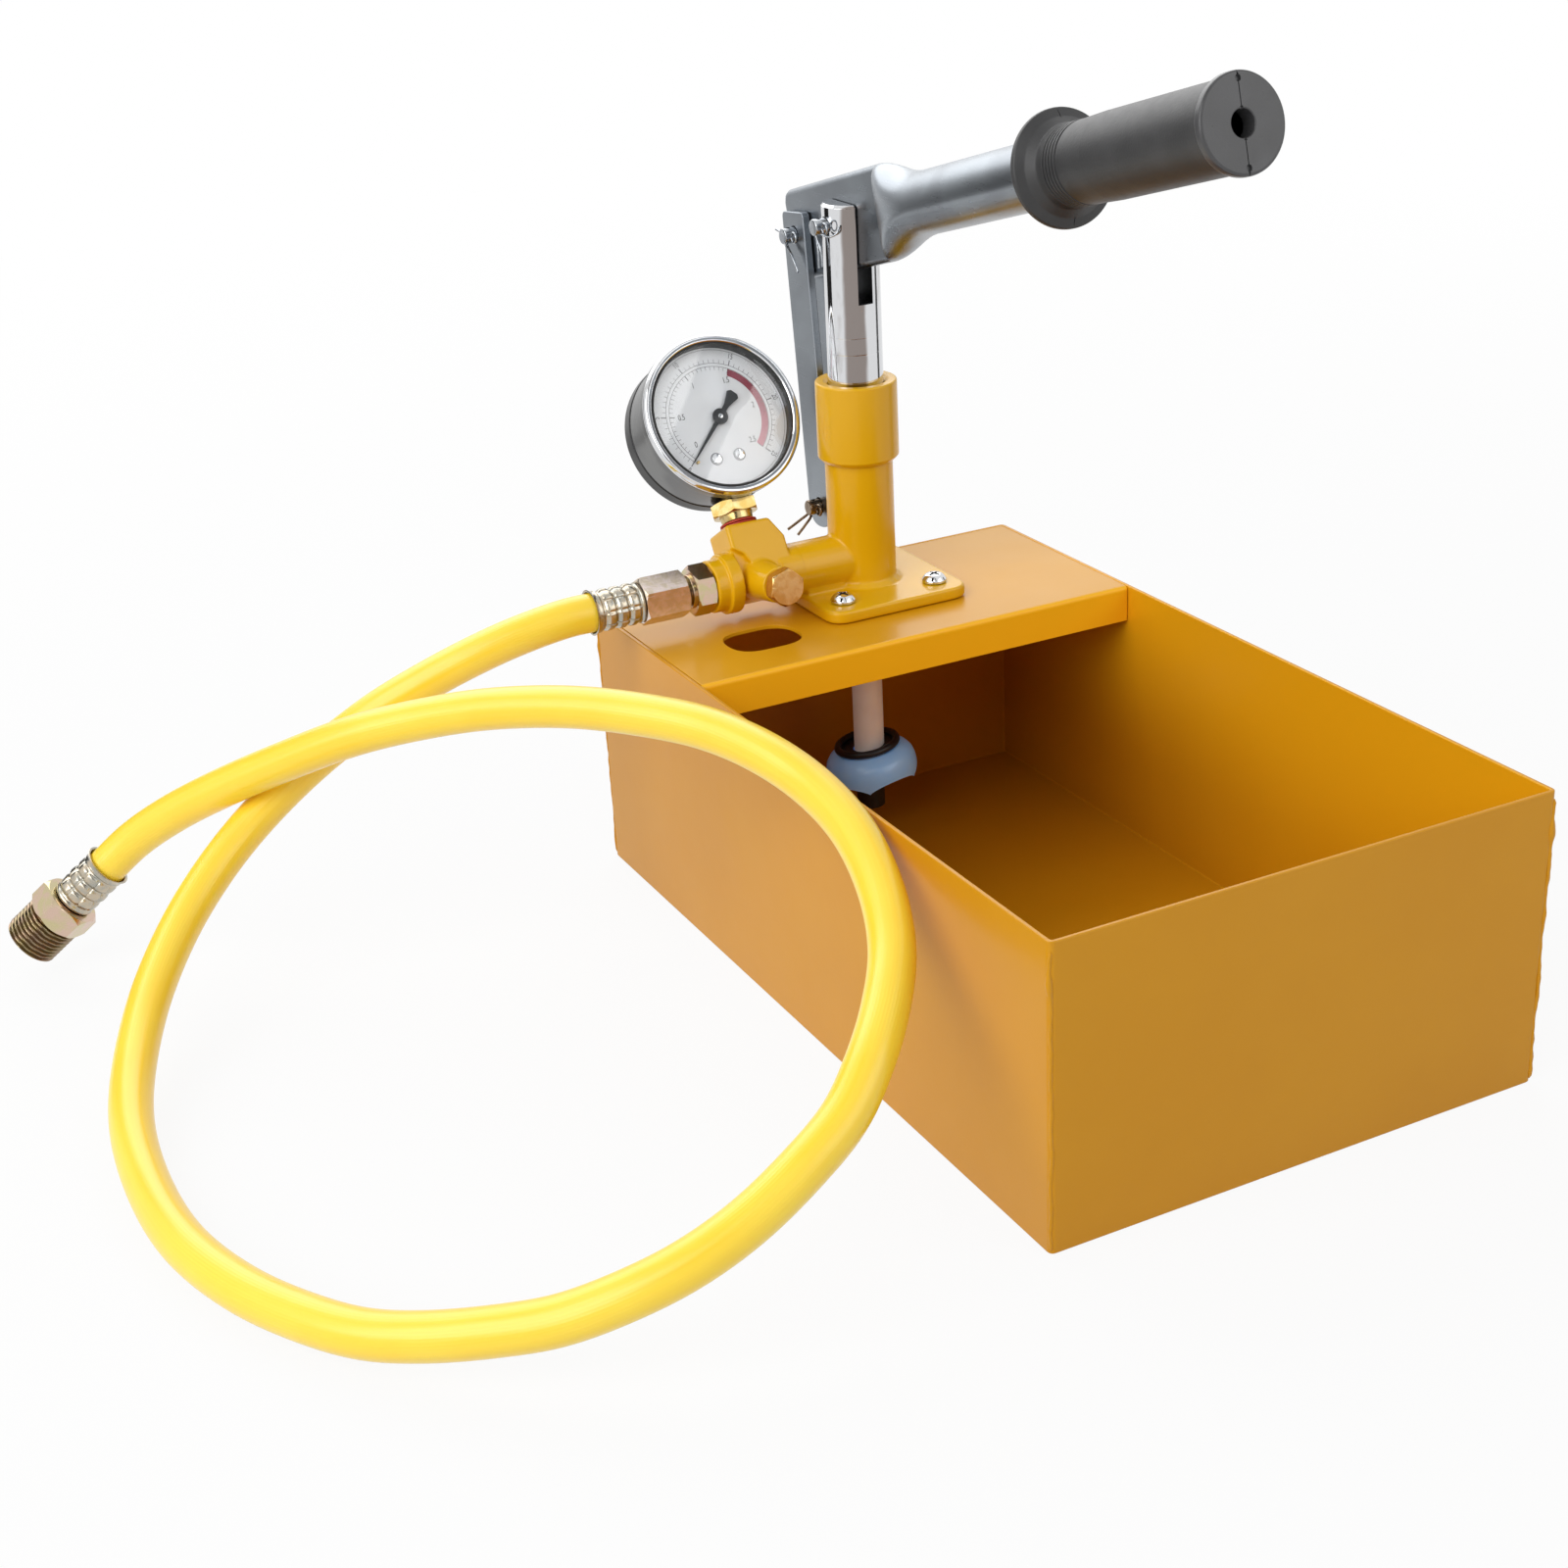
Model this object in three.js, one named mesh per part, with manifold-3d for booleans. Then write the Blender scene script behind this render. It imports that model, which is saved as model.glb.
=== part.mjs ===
import * as THREE from "three";
import { mergeVertices } from "three/addons/utils/BufferGeometryUtils.js";
import Module from "manifold-3d";

// A hand-operated pressure test pump: an open tank with a lever-driven plunger pump, a dial gauge and a hose.
// Millimetres, +Z up. The handle points to -Y and the outlet to -X.
// The origin is the centre of the tank's bottom face.

const wasm = await Module();
wasm.setup();

// Sizes shared by many pieces
const gap = 0.3;
const overrun = 2;
const mergeStep = 1e-4;
const sides = 24;
const fineSides = 40;
const smallSides = 12;
const hexSides = 6;
const quarter = Math.PI / 2;
const quarterTurn = 90;

// Tank
const tank = { length: 320, width: 185, height: 104, sheet: 1.5, corner: 2.5 };
const shelf = { depth: 93, lip: 14, sheet: 1.5, bend: 2 };
const fillHole = { x: -51.5, fromFront: 30.5, length: 29, width: 22.5 };

// Pump body. Heights here and in the groups below are above the shelf.
const column = { x: 5.5, fromBack: 37, diameter: 26, top: 64 };
const base = { length: 60, width: 63, thickness: 5, corner: 8, edge: 1 };
const screw = { x: 20, y: 20.5, shank: 5, headDiameter: 9.5, headHeight: 3.4, tail: 2 };
const screwSlot = { width: 1.1, length: 5, depth: 1.6 };
const nut = { flats: 8, height: 4, chamfer: 1 };
const pipe = { height: 14.3, diameter: 20, reach: 30.7, bore: 7 };
const spigot = { diameter: 12, length: 7 };
const weld = { near: 12, far: 28, halfWidth: 8, height: 4 };
const lug = { thickness: 5, diameter: 17 };

// Plunger and gland
const plunger = { diameter: 21, top: 149.7, bottom: 49, slotWidth: 6, slotBottom: 113.5, chamfer: 1 };
const chamber = { diameter: 10, bottom: 9, top: 17.5, seatBore: 6, shoulder: 2.5 };
const gland = { diameter: 31, bottom: 53, top: 83.6, web: 6.6, chamfer: 2, edge: 0.8 };
const packing = { height: 7.7 };

// Linkage, at rest
const lever = {
  tilt: 15, plateThickness: 5, flatHeight: 34.4, diameter: 22, wall: 2, rear: 44.8, rearCorner: 2.5,
};
const flare = { start: 28.6, end: 60 };
const leverPin = { height: 142, linkBehind: 35 };
const slot = { behind: 2, before: 3.3, across: 1.5 };
const lowerPin = { behind: 23, height: 29 };
const strap = { width: 17, thickness: 3 };
const pin = { diameter: 6, headDiameter: 9, headHeight: 2.2, tail: 5, chamfer: 0.6 };
const cotter = { wire: 1.6, eye: 2.2, crotch: 2.4, legLength: 9.5, legSpread: 24, fromTip: 2.4 };
const grip = {
  start: 144, end: 239, diameter: 26.6, flange: 37.2, flangeThick: 3.5, endDisc: 29, endDiscThick: 3.2,
  endWall: 5.7, bore: 8,
};
const gripRib = { count: 4, step: 4.4, height: 0.7, width: 1.6, start: 8 };

// Tee, along the pipe's axis from the column
const tee = {
  start: 31, end: 59.5, gaugeAt: 46.9, halfDepth: 9.5, left: 9.5, right: 13, low: 8, high: 20, tilt: 31,
};
const teeChamfer = { side: 8.5, upper: 8, lower: 5 };
const stub = { diameter: 20, end: 66, socket: 12 };
const ring = { diameter: 23, end: 61 };
const plug = {
  tilt: 8.5, flats: 12.7, headStart: 23.6, headHeight: 5.3, chamfer: 0.9, shank: 8, reach: 11,
  drain: 3.2,
};
const boss = { base: 19, top: 14, end: 22 };
const plugWasher = { diameter: 11, thickness: 1 };
const valve = { ball: 8.4 };

// Outlet fittings, along the pipe's axis from the column
const nipple = {
  hexStart: 66.3, hexEnd: 74, flats: 17, chamfer: 0.8, thread: 11, threadEnd: 87, bore: 5,
  spigotStart: 60.2,
};
const collar = { diameter: 13, end: 75 };
const hoseNut = { start: 77, end: 94.7, flats: 16, chamfer: 0.8, web: 4.7 };
const stem = { diameter: 7.4, head: 10.4, headLength: 1.4 };
const ferrule = { start: 95, end: 114.5, diameter: 15.8, flange: 17, rim: 2.4, waist: 14.4, wall: 0.8 };
const crimpShares = [0.1, 0.34, 0.58, 0.8];
const crimpStepShare = 0.035;
const rimShare = 0.92;

// Hose
const hose = { diameter: 14.5, sides: 12, steps: 40, clearance: 0.5 };
const hosePoints = [
  [column.x - ferrule.end + ferrule.rim - gap, tank.length / 2 - column.fromBack, tank.height + pipe.height],
  [-118, 123, 118.2],
  [-134, 124.5, 115.5],
  [-149, 127.5, 111],
  [-170, 133.5, 102],
  [-191, 139.5, 91],
  [-219, 144, 73],
  [-246, 139, 55.5],
  [-270, 124, 40],
  [-291, 99, 26.5],
  [-307, 67, 16],
  [-315, 39, 11],
  [-318, 5, 8],
  [-316, -30, 7.6],
  [-308, -60, 8],
  [-297, -84, 9],
  [-284, -105, 11],
  [-271, -119, 14],
  [-255, -132, 18],
  [-239, -142, 22],
  [-221, -149, 28],
  [-204, -152.5, 34],
  [-186, -152.5, 41],
  [-167, -149.5, 50],
  [-150, -143.5, 58],
  [-137, -135, 67],
  [-124, -122, 75],
  [-112.5, -106, 83],
  [-104.8, -86.5, 92],
  [-101, -63, 101.3],
  [-102.5, -41, 108],
  [-109, -19.5, 113.8],
  [-119, 3, 117],
  [-133.5, 26, 117.5],
  [-149, 48, 116],
  [-168.5, 72, 111.5],
  [-187, 92, 105],
  [-207, 110, 97],
  [-228, 129.5, 85],
  [-247, 147, 73],
  [-263.5, 161, 61.5],
  [-277, 171.3, 50.2],
  [-288.7, 176.4, 39.3],
];

// Far end of the hose, from the ferrule's rim along the fitting
const farEnd = { ferrule: 19.8, flange: 17.8, diameter: 16.2, waist: 14.8 };
const farHex = { start: 20.1, length: 9.6, flats: 21, chamfer: 1.5, neck: 10, neckIn: 6, bore: 5 };
const thread = { length: 14.6, diameter: 20.96, depth: 1.1, pitch: 1.8, bore: 11, relief: 0.9, sides: 18 };
const threadShares = { crestStart: 0.35, crestEnd: 0.6, rootStart: 0.95 };

// Gauge, along the stem from the pipe's axis
const stemSize = { socket: 11.4, reach: 12, neck: 13, collarEnd: 29.8, top: 36, upper: 9, bore: 3.2 };
const stemHex = { start: 24.4, end: 28.6, flats: 17, chamfer: 0.7 };
const sealWasher = { diameter: 14.6, thickness: 0.7, start: 20.3 };
const gauge = { centre: 60.8, back: -11.6, caseRadius: 29.3, wall: 1.5, rim: 11.8 };
const band = { outer: 30.5, inner: 29.6, width: 6 };
const bezel = {
  radius: 31.4, rear: 9, front: 15.4, lip: 28.2, lipThick: 1.3, round: 1.6,
  arcShare: 1 - Math.SQRT1_2,
};
const glass = { thickness: 1.7 };
const dial = { radius: 27.4, front: 10.2, thickness: 0.6, hole: 2.4 };
const dialScrews = { head: 2.2, headHeight: 0.6, shank: 1.2, length: 6.5, post: 3.6 };
const dialScrewShares = [[-0.212, -0.57], [0.139, -0.562]];
const stopPin = { radius: 21, angle: 228.5, diameter: 1, height: 1.4 };
const pointer = {
  zeroAngle: 225, length: 21.5, tail: 11.5, rootWidth: 1.5, tipWidth: 0.5, tailWidth: 3.2, lift: 0.8,
  thickness: 0.5,
};
const hub = { diameter: 6.2, height: 0.9 };
const staff = { diameter: 1.6, length: 7.4 };
const movement = {
  halfWidth: 9, top: 6, back: 3, low: -20, high: 6, blockHalf: 3.9, blockHigh: -12, seat: 3.2,
  post: 1,
};
const bourdon = { radius: 20, across: 4.4, thickness: 2.2, sides: 8, steps: 28 };
const bourdonArc = { startAngle: -76, endAngle: 190 };

// Suction side, above the floor, but the tube's top above the shelf
const suction = { diameter: 12, bore: 8, bottom: 28.8, top: 6.7 };
const foot = {
  diameter: 11.2, bottom: 12, shoulder: 16, shoulderLow: 26, shoulderHigh: 28.5, spigot: 7.4,
  spigotTop: 37, bore: 4.4,
};
const cup = { tilt: 9, towards: [-0.9, 0.44], pivot: 33, radius: 18.3, wall: 1.4, hole: 13.6 };
const web = { height: 30.3, thickness: 1.5 };
const toothCount = 5;
const notchTurnShare = 0.18;
const cupRing = { outer: 26.7, section: 3, height: 38.7 };

// Places worked out from the sizes
const shelfFront = tank.length / 2 - shelf.depth;
const columnY = tank.length / 2 - column.fromBack;
const baseTop = base.thickness;
const pinRadius = pin.diameter / 2;
const leverTilt = THREE.MathUtils.degToRad(lever.tilt);
const upperPinY = columnY + leverPin.linkBehind * Math.cos(leverTilt);
const upperPinZ = leverPin.height - leverPin.linkBehind * Math.sin(leverTilt);
const strapInside = plunger.slotWidth / 2;
const strapOutside = strapInside + strap.thickness;
const plungerRadius = plunger.diameter / 2;
const runningRadius = plungerRadius + gap;
const dialScrewPlaces = dialScrewShares.map((shares) => shares.map((share) => share * dial.radius));

// Materials
function finish(color, roughness, metalness) {
  return new THREE.MeshStandardMaterial({ color, roughness, metalness });
}
const tankPaint = finish(0xd09a42, 0.35, 0);
const pumpPaint = finish(0xd99f1c, 0.3, 0);
const chrome = finish(0xd8dadc, 0.12, 1);
const zinc = finish(0x9a9ea2, 0.4, 1);
const yellowZinc = finish(0xc0a47a, 0.3, 1);
const brass = finish(0xd9b45c, 0.3, 1);
const fibre = finish(0xa8301c, 0.6, 0);
const blackRubber = finish(0x2c2d2f, 0.7, 0);
const satinSteel = finish(0xb0a8a0, 0.35, 1);
const dialWhite = finish(0xdfe2e2, 0.5, 0);
const clearGlass = finish(0xe8f0f0, 0.05, 0);
const blackPaint = finish(0x141414, 0.4, 0);
const hoseYellow = finish(0xffd84a, 0.35, 0);
const tubeWhite = finish(0xe8d8cc, 0.5, 0);
const strainerBlue = finish(0x7288a5, 0.35, 0);
const steelBall = finish(0xc8c8c8, 0.1, 1);

// Solids: join, cut and common part, by manifold-3d
function solid(geometry) {
  const bare = geometry.index ? geometry.toNonIndexed() : geometry.clone();
  bare.deleteAttribute("normal");
  bare.deleteAttribute("uv");
  const merged = mergeVertices(bare, mergeStep);
  const kept = [];
  for (let i = 0; i < merged.index.count; i += 3) {
    const [a, b, c] = [0, 1, 2].map((k) => merged.index.getX(i + k));
    if (a !== b && b !== c && a !== c) kept.push(a, b, c);
  }
  const vertProperties = merged.attributes.position.array;
  return new wasm.Manifold(new wasm.Mesh({ numProp: 3, vertProperties, triVerts: new Uint32Array(kept) }));
}

function geometryOf(body) {
  const { vertProperties, triVerts } = body.getMesh();
  const geometry = new THREE.BufferGeometry();
  geometry.setAttribute("position", new THREE.BufferAttribute(vertProperties, 3));
  geometry.setIndex(new THREE.BufferAttribute(triVerts, 1));
  geometry.computeVertexNormals();
  return geometry;
}

function join(first, ...others) {
  return others.reduce((body, other) => body.add(other), first);
}

function cut(first, ...others) {
  return others.reduce((body, other) => body.subtract(other), first);
}

function named(name, body, material) {
  const mesh = new THREE.Mesh(geometryOf(body), material);
  mesh.name = name;
  return mesh;
}

// Turns what is built along +Z to another row axis, keeping it right-handed.
function pointAlong(geometry, axis) {
  const matrix = new THREE.Matrix4();
  if (axis === "x") matrix.set(0, 0, 1, 0, 1, 0, 0, 0, 0, 1, 0, 0, 0, 0, 0, 1);
  if (axis === "y") matrix.set(0, 1, 0, 0, 0, 0, 1, 0, 1, 0, 0, 0, 0, 0, 0, 1);
  return geometry.applyMatrix4(matrix);
}

// A solid turned about Z, from its closed outline of [radius, height] points, anticlockwise.
function turned(outline, count = sides) {
  const points = outline.map(([radius, height]) => new THREE.Vector2(radius, height));
  if (outline[0][0] > 0) points.push(points[0].clone());
  return new THREE.LatheGeometry(points, count).rotateX(quarter);
}

function disc(radius, low, high, count = sides) {
  return turned([[0, low], [radius, low], [radius, high], [0, high]], count);
}

function rod(radius, low, high, place = [0, 0, 0], axis = "z", count = sides) {
  return solid(pointAlong(disc(radius, low, high, count), axis).translate(...place));
}

function ringAt(inner, outer, low, high, count = sides) {
  return turned([[inner, low], [outer, low], [outer, high], [inner, high]], count);
}

function box(x0, x1, y0, y1, z0, z1) {
  const geometry = new THREE.BoxGeometry(x1 - x0, y1 - y0, z1 - z0);
  return solid(geometry.translate((x0 + x1) / 2, (y0 + y1) / 2, (z0 + z1) / 2));
}

// A flat piece from an outline in the two axes that follow its own: Y and Z for x, X and Y for z.
function plate(shape, low, high, axis = "z", curveSegments = 6) {
  const options = { depth: high - low, bevelEnabled: false, curveSegments };
  const geometry = new THREE.ExtrudeGeometry(shape, options).translate(0, 0, low);
  return solid(pointAlong(geometry, axis));
}

function roundedRectangle(width, height, radius) {
  const [x, y] = [width / 2, height / 2];
  const shape = new THREE.Shape();
  shape.absarc(x - radius, y - radius, radius, 0, quarter);
  shape.absarc(radius - x, y - radius, radius, quarter, 2 * quarter);
  shape.absarc(radius - x, radius - y, radius, 2 * quarter, 3 * quarter);
  shape.absarc(x - radius, radius - y, radius, 3 * quarter, 4 * quarter);
  return shape;
}

// A bar with round ends between two centres, in the plane of a plate.
function roundBar(from, to, radius) {
  const heading = Math.atan2(to[1] - from[1], to[0] - from[0]);
  const shape = new THREE.Shape();
  shape.absarc(to[0], to[1], radius, heading - quarter, heading + quarter);
  shape.absarc(from[0], from[1], radius, heading + quarter, heading + 3 * quarter);
  return shape;
}

// A hexagon bar along Z with its corners turned off at both ends.
function hexBar(flats, low, high, chamfer) {
  const corner = flats / 2 / Math.cos(Math.PI / hexSides);
  const face = flats / 2;
  const bar = solid(turned([[0, low], [corner, low], [corner, high], [0, high]], hexSides));
  const lower = [[0, low], [face, low], [corner, low + chamfer]];
  const upper = [[corner, high - chamfer], [face, high], [0, high]];
  return bar.intersect(solid(turned([...lower, ...upper], fineSides / 2)));
}

// A closed skin over rings of equally many points.
function loft(rings) {
  const count = rings[0].length;
  const positions = [];
  const triangle = (a, b, c) => positions.push(...a, ...b, ...c);
  const centre = (ring) => [0, 1, 2].map((k) => ring.reduce((sum, point) => sum + point[k], 0) / count);
  const [start, end] = [centre(rings[0]), centre(rings.at(-1))];
  for (let j = 0; j < count; j++) {
    const next = (j + 1) % count;
    triangle(start, rings[0][next], rings[0][j]);
    triangle(end, rings.at(-1)[j], rings.at(-1)[next]);
    for (let i = 0; i + 1 < rings.length; i++) {
      triangle(rings[i][j], rings[i][next], rings[i + 1][next]);
      triangle(rings[i][j], rings[i + 1][next], rings[i + 1][j]);
    }
  }
  const geometry = new THREE.BufferGeometry();
  geometry.setAttribute("position", new THREE.Float32BufferAttribute(positions, 3));
  return geometry;
}

function placed(group, position, rotation) {
  group.position.set(...position);
  group.rotation.set(...rotation);
  return group;
}

function cutter(radius, low, high, place, axis, count) {
  return rod(radius, low - overrun, high + overrun, place, axis, count);
}

// Tank
function tankBody() {
  const outside = plate(roundedRectangle(tank.width, tank.length, tank.corner), 0, tank.height);
  const [width, length] = [tank.width - 2 * tank.sheet, tank.length - 2 * tank.sheet];
  const inside = roundedRectangle(width, length, tank.corner - tank.sheet);
  return named("tank_body", cut(outside, plate(inside, tank.sheet, tank.height + overrun)), tankPaint);
}

function tankShelf() {
  const half = tank.width / 2 - tank.sheet - gap;
  const back = tank.length / 2 - tank.sheet - gap;
  const [top, low] = [tank.height, tank.height - shelf.sheet];
  const fold = new THREE.Shape();
  fold.moveTo(back, low);
  fold.lineTo(back, top);
  fold.lineTo(shelfFront + shelf.bend, top);
  const [bendY, bendZ] = [shelfFront + shelf.bend, top - shelf.bend];
  fold.absarc(bendY, bendZ, shelf.bend, quarter, 2 * quarter);
  fold.lineTo(shelfFront, top - shelf.lip);
  fold.lineTo(shelfFront + shelf.sheet, top - shelf.lip);
  fold.lineTo(shelfFront + shelf.sheet, bendZ);
  fold.absarc(bendY, bendZ, shelf.bend - shelf.sheet, 2 * quarter, quarter, true);
  const sheetBody = plate(fold, -half, half, "x");
  const holeY = shelfFront + fillHole.fromFront;
  const reach = (fillHole.length - fillHole.width) / 2;
  const oval = roundBar([fillHole.x - reach, holeY], [fillHole.x + reach, holeY], fillHole.width / 2);
  const fill = plate(oval, low - overrun, top + overrun, "z", smallSides);
  const tubeHole = cutter(suction.diameter / 2 + gap, low, top, [column.x, columnY, 0], "z");
  return named("tank_shelf", cut(sheetBody, fill, tubeHole, ...screwHoles(low, top)), pumpPaint);
}

// Pump body: base plate, column, outlet pipe and link lug in one weldment
function screwPlaces() {
  const corners = [[-1, -1], [1, -1], [-1, 1], [1, 1]];
  return corners.map(([i, j]) => [column.x + i * screw.x, columnY + j * screw.y]);
}

function screwHoles(low, high) {
  const radius = screw.shank / 2 + gap;
  return screwPlaces().map(([x, y]) => cutter(radius, low, high, [x, y, 0], "z", smallSides));
}

function pumpBody() {
  const centre = [column.x, columnY, 0];
  const outline = roundedRectangle(base.length, base.width, base.corner);
  const [length, width] = [base.length - 2 * base.edge, base.width - 2 * base.edge];
  const upperOutline = roundedRectangle(length, width, base.corner - base.edge);
  const lower = plate(outline, gap, baseTop - base.edge);
  const upper = plate(upperOutline, baseTop - base.edge, baseTop);
  const basePlate = join(lower, upper).translate(centre);
  const radius = column.diameter / 2;
  const standing = rod(radius, baseTop - base.edge, column.top, centre, "z", fineSides);
  const along = [column.x, columnY, pipe.height];
  const outlet = rod(pipe.diameter / 2, -pipe.reach, 0, along, "x");
  const tip = rod(spigot.diameter / 2, -pipe.reach - spigot.length, 0, along, "x");
  const [webNear, webFar] = [column.x - weld.near, column.x - weld.far];
  const [webLow, webHigh] = [baseTop - base.edge, baseTop + weld.height];
  const bead = box(webFar, webNear, columnY - weld.halfWidth, columnY + weld.halfWidth, webLow, webHigh);
  const { height, behind } = lowerPin;
  const lugBar = roundBar([columnY, height], [columnY + behind, height], lug.diameter / 2);
  const lugPlate = plate(lugBar, column.x - lug.thickness / 2, column.x + lug.thickness / 2, "x");
  const whole = join(basePlate, standing, outlet, tip, bead, lugPlate);
  const boreBottom = chamber.top + chamber.shoulder;
  const plungerBore = rod(runningRadius, boreBottom, column.top + overrun, centre, "z");
  const passage = rod(chamber.seatBore / 2, suction.top + gap, column.top, centre, "z", smallSides);
  const ballRoom = rod(chamber.diameter / 2, chamber.bottom, chamber.top, centre, "z", sides / 2);
  const socket = rod(suction.diameter / 2 + gap, -overrun, suction.top + gap, centre, "z");
  const outletBore = rod(pipe.bore / 2, -pipe.reach - spigot.length - overrun, 0, along, "x", smallSides);
  const pinPlace = [column.x, columnY + behind, height];
  const pinHole = cutter(pinRadius + gap, -lug.thickness, lug.thickness, pinPlace, "x", smallSides);
  const bores = [plungerBore, passage, ballRoom, socket, outletBore, pinHole];
  return named("pump_body", cut(whole, ...bores, ...screwHoles(gap, baseTop)), pumpPaint);
}

// Outline shares of the screw's head: radius, and height above its seat
const headShares = [[1, 0], [1, 0.35], [0.86, 0.74], [0.5, 1], [0, 1]];

function baseScrew(number, [x, y]) {
  const seat = baseTop + gap;
  const [radius, shank] = [screw.headDiameter / 2, screw.shank / 2];
  const nutBottom = -shelf.sheet - gap - nut.height;
  const outline = [
    [0, nutBottom - screw.tail],
    [shank, nutBottom - screw.tail],
    [shank, seat],
    ...headShares.map(([out, up]) => [radius * out, seat + screw.headHeight * up]),
  ];
  const [long, wide] = [screwSlot.length / 2, screwSlot.width / 2];
  const [low, high] = [seat + screw.headHeight - screwSlot.depth, seat + screw.headHeight + overrun];
  const recess = join(box(-long, long, -wide, wide, low, high), box(-wide, wide, -long, long, low, high));
  const body = cut(solid(turned(outline, sides / 2)), recess).translate([x, y, 0]);
  return named("base_screw_" + number, body, chrome);
}

function baseNut(number, [x, y]) {
  const top = -shelf.sheet - gap;
  const hex = hexBar(nut.flats, top - nut.height, top, nut.chamfer);
  const hole = cutter(screw.shank / 2 + gap, top - nut.height, top, [0, 0, 0], "z", smallSides);
  return named("base_nut_" + number, cut(hex, hole).translate([x, y, 0]), zinc);
}

// Gland
function glandCap() {
  const [outer, inner] = [gland.diameter / 2, column.diameter / 2 + gap];
  const outline = [
    [inner, gland.bottom],
    [outer - gland.chamfer, gland.bottom],
    [outer, gland.bottom + gland.chamfer],
    [outer, gland.top - gland.edge],
    [outer - gland.edge, gland.top],
    [runningRadius, gland.top],
    [runningRadius, gland.top - gland.web],
    [inner, gland.top - gland.web],
  ];
  return named("gland_cap", solid(turned(outline, fineSides).translate(column.x, columnY, 0)), pumpPaint);
}

function glandRing(name, low, high, material) {
  const body = ringAt(runningRadius, column.diameter / 2, low, high);
  return named(name, solid(body.translate(column.x, columnY, 0)), material);
}

// Plunger
function plungerBody() {
  const outline = [
    [0, plunger.bottom],
    [plungerRadius - plunger.chamfer, plunger.bottom],
    [plungerRadius, plunger.bottom + plunger.chamfer],
    [plungerRadius, plunger.top - plunger.chamfer],
    [plungerRadius - plunger.chamfer, plunger.top],
    [0, plunger.top],
  ];
  const bar = solid(turned(outline, fineSides)).translate([column.x, columnY, 0]);
  const half = plunger.slotWidth / 2;
  const opening = box(
    column.x - half, column.x + half,
    columnY - plunger.diameter, columnY + plunger.diameter,
    plunger.slotBottom, plunger.top + overrun,
  );
  const pinPlace = [column.x, columnY, leverPin.height];
  const hole = cutter(pinRadius + gap, -plungerRadius, plungerRadius, pinPlace, "x", smallSides);
  return named("plunger", cut(bar, opening, hole), chrome);
}

// A clevis pin along X: its head on +X, its drilled end on -X, past the face that it holds.
function clevisPin(name, faceHalf, place) {
  const [radius, head] = [pin.diameter / 2, pin.headDiameter / 2];
  const tail = -faceHalf - pin.tail;
  const seat = faceHalf + gap;
  const outline = [
    [0, tail],
    [radius - pin.chamfer, tail],
    [radius, tail + pin.chamfer],
    [radius, seat],
    [head, seat],
    [head, seat + pin.headHeight - pin.chamfer],
    [head - pin.chamfer, seat + pin.headHeight],
    [0, seat + pin.headHeight],
  ];
  const bar = solid(pointAlong(turned(outline, smallSides), "x"));
  const drilled = cutter(cotter.wire / 2 + gap, -radius, radius, [tail + cotter.fromTip, 0, 0]);
  return named(name, cut(bar, drilled).translate(place), zinc);
}

// A split pin through the drilled end, its eye above and its two legs bent apart below.
function splitPin(name, faceHalf, place) {
  const wire = cotter.wire / 2;
  const eye = new THREE.TorusGeometry(cotter.eye, wire, smallSides / 2, smallSides);
  const eyeHeight = pinRadius + wire + cotter.eye;
  const shank = solid(disc(wire, -pinRadius - cotter.crotch, eyeHeight - cotter.eye, smallSides / 2));
  const legs = [-1, 1].map((side) => {
    const leg = disc(wire, -cotter.legLength, 0, smallSides / 2);
    const spread = THREE.MathUtils.degToRad(side * cotter.legSpread);
    return solid(leg.rotateX(spread).translate(0, 0, -pinRadius - cotter.wire));
  });
  const body = join(solid(eye.rotateY(quarter).translate(0, 0, eyeHeight)), shank, ...legs);
  const x = -faceHalf - pin.tail + cotter.fromTip;
  return named(name, body.translate([place[0] + x, place[1], place[2]]), zinc);
}

// Link straps
function linkStrap(name, side) {
  const ends = [[columnY + lowerPin.behind, lowerPin.height], [upperPinY, upperPinZ]];
  const faces = [side * strapInside, side * strapOutside].map((x) => column.x + x).sort((a, b) => a - b);
  const bar = plate(roundBar(...ends, strap.width / 2), ...faces, "x");
  const holes = ends.map((end) => cutter(pinRadius + gap, ...faces, [0, ...end], "x", smallSides));
  return named(name, cut(bar, ...holes), zinc);
}

// Handle: local +Z runs forward along the lever, local +Y is its upper side, and the plunger pin is at zero.
// Where it flares from plate to tube: place, width and height.
const flareShares = [
  [0, 0, 0],
  [0.1, 0.32, 0.02],
  [0.22, 0.58, 0.12],
  [0.4, 0.8, 0.4],
  [0.65, 0.94, 0.76],
  [1, 1, 1],
];
const sectionSides = fineSides / 8;

function tubeSection(width, height, corner, place) {
  const points = [];
  for (let i = 0; i < 4 * sectionSides; i++) {
    const angle = ((i + 1 / 2) / sectionSides) * quarter;
    const right = Math.cos(angle) > 0 ? 1 : -1;
    const upper = Math.sin(angle) > 0 ? 1 : -1;
    const x = right * (width / 2 - corner) + corner * Math.cos(angle);
    const y = upper * (height / 2 - corner) + corner * Math.sin(angle);
    points.push([x, y, place]);
  }
  return points;
}

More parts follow.
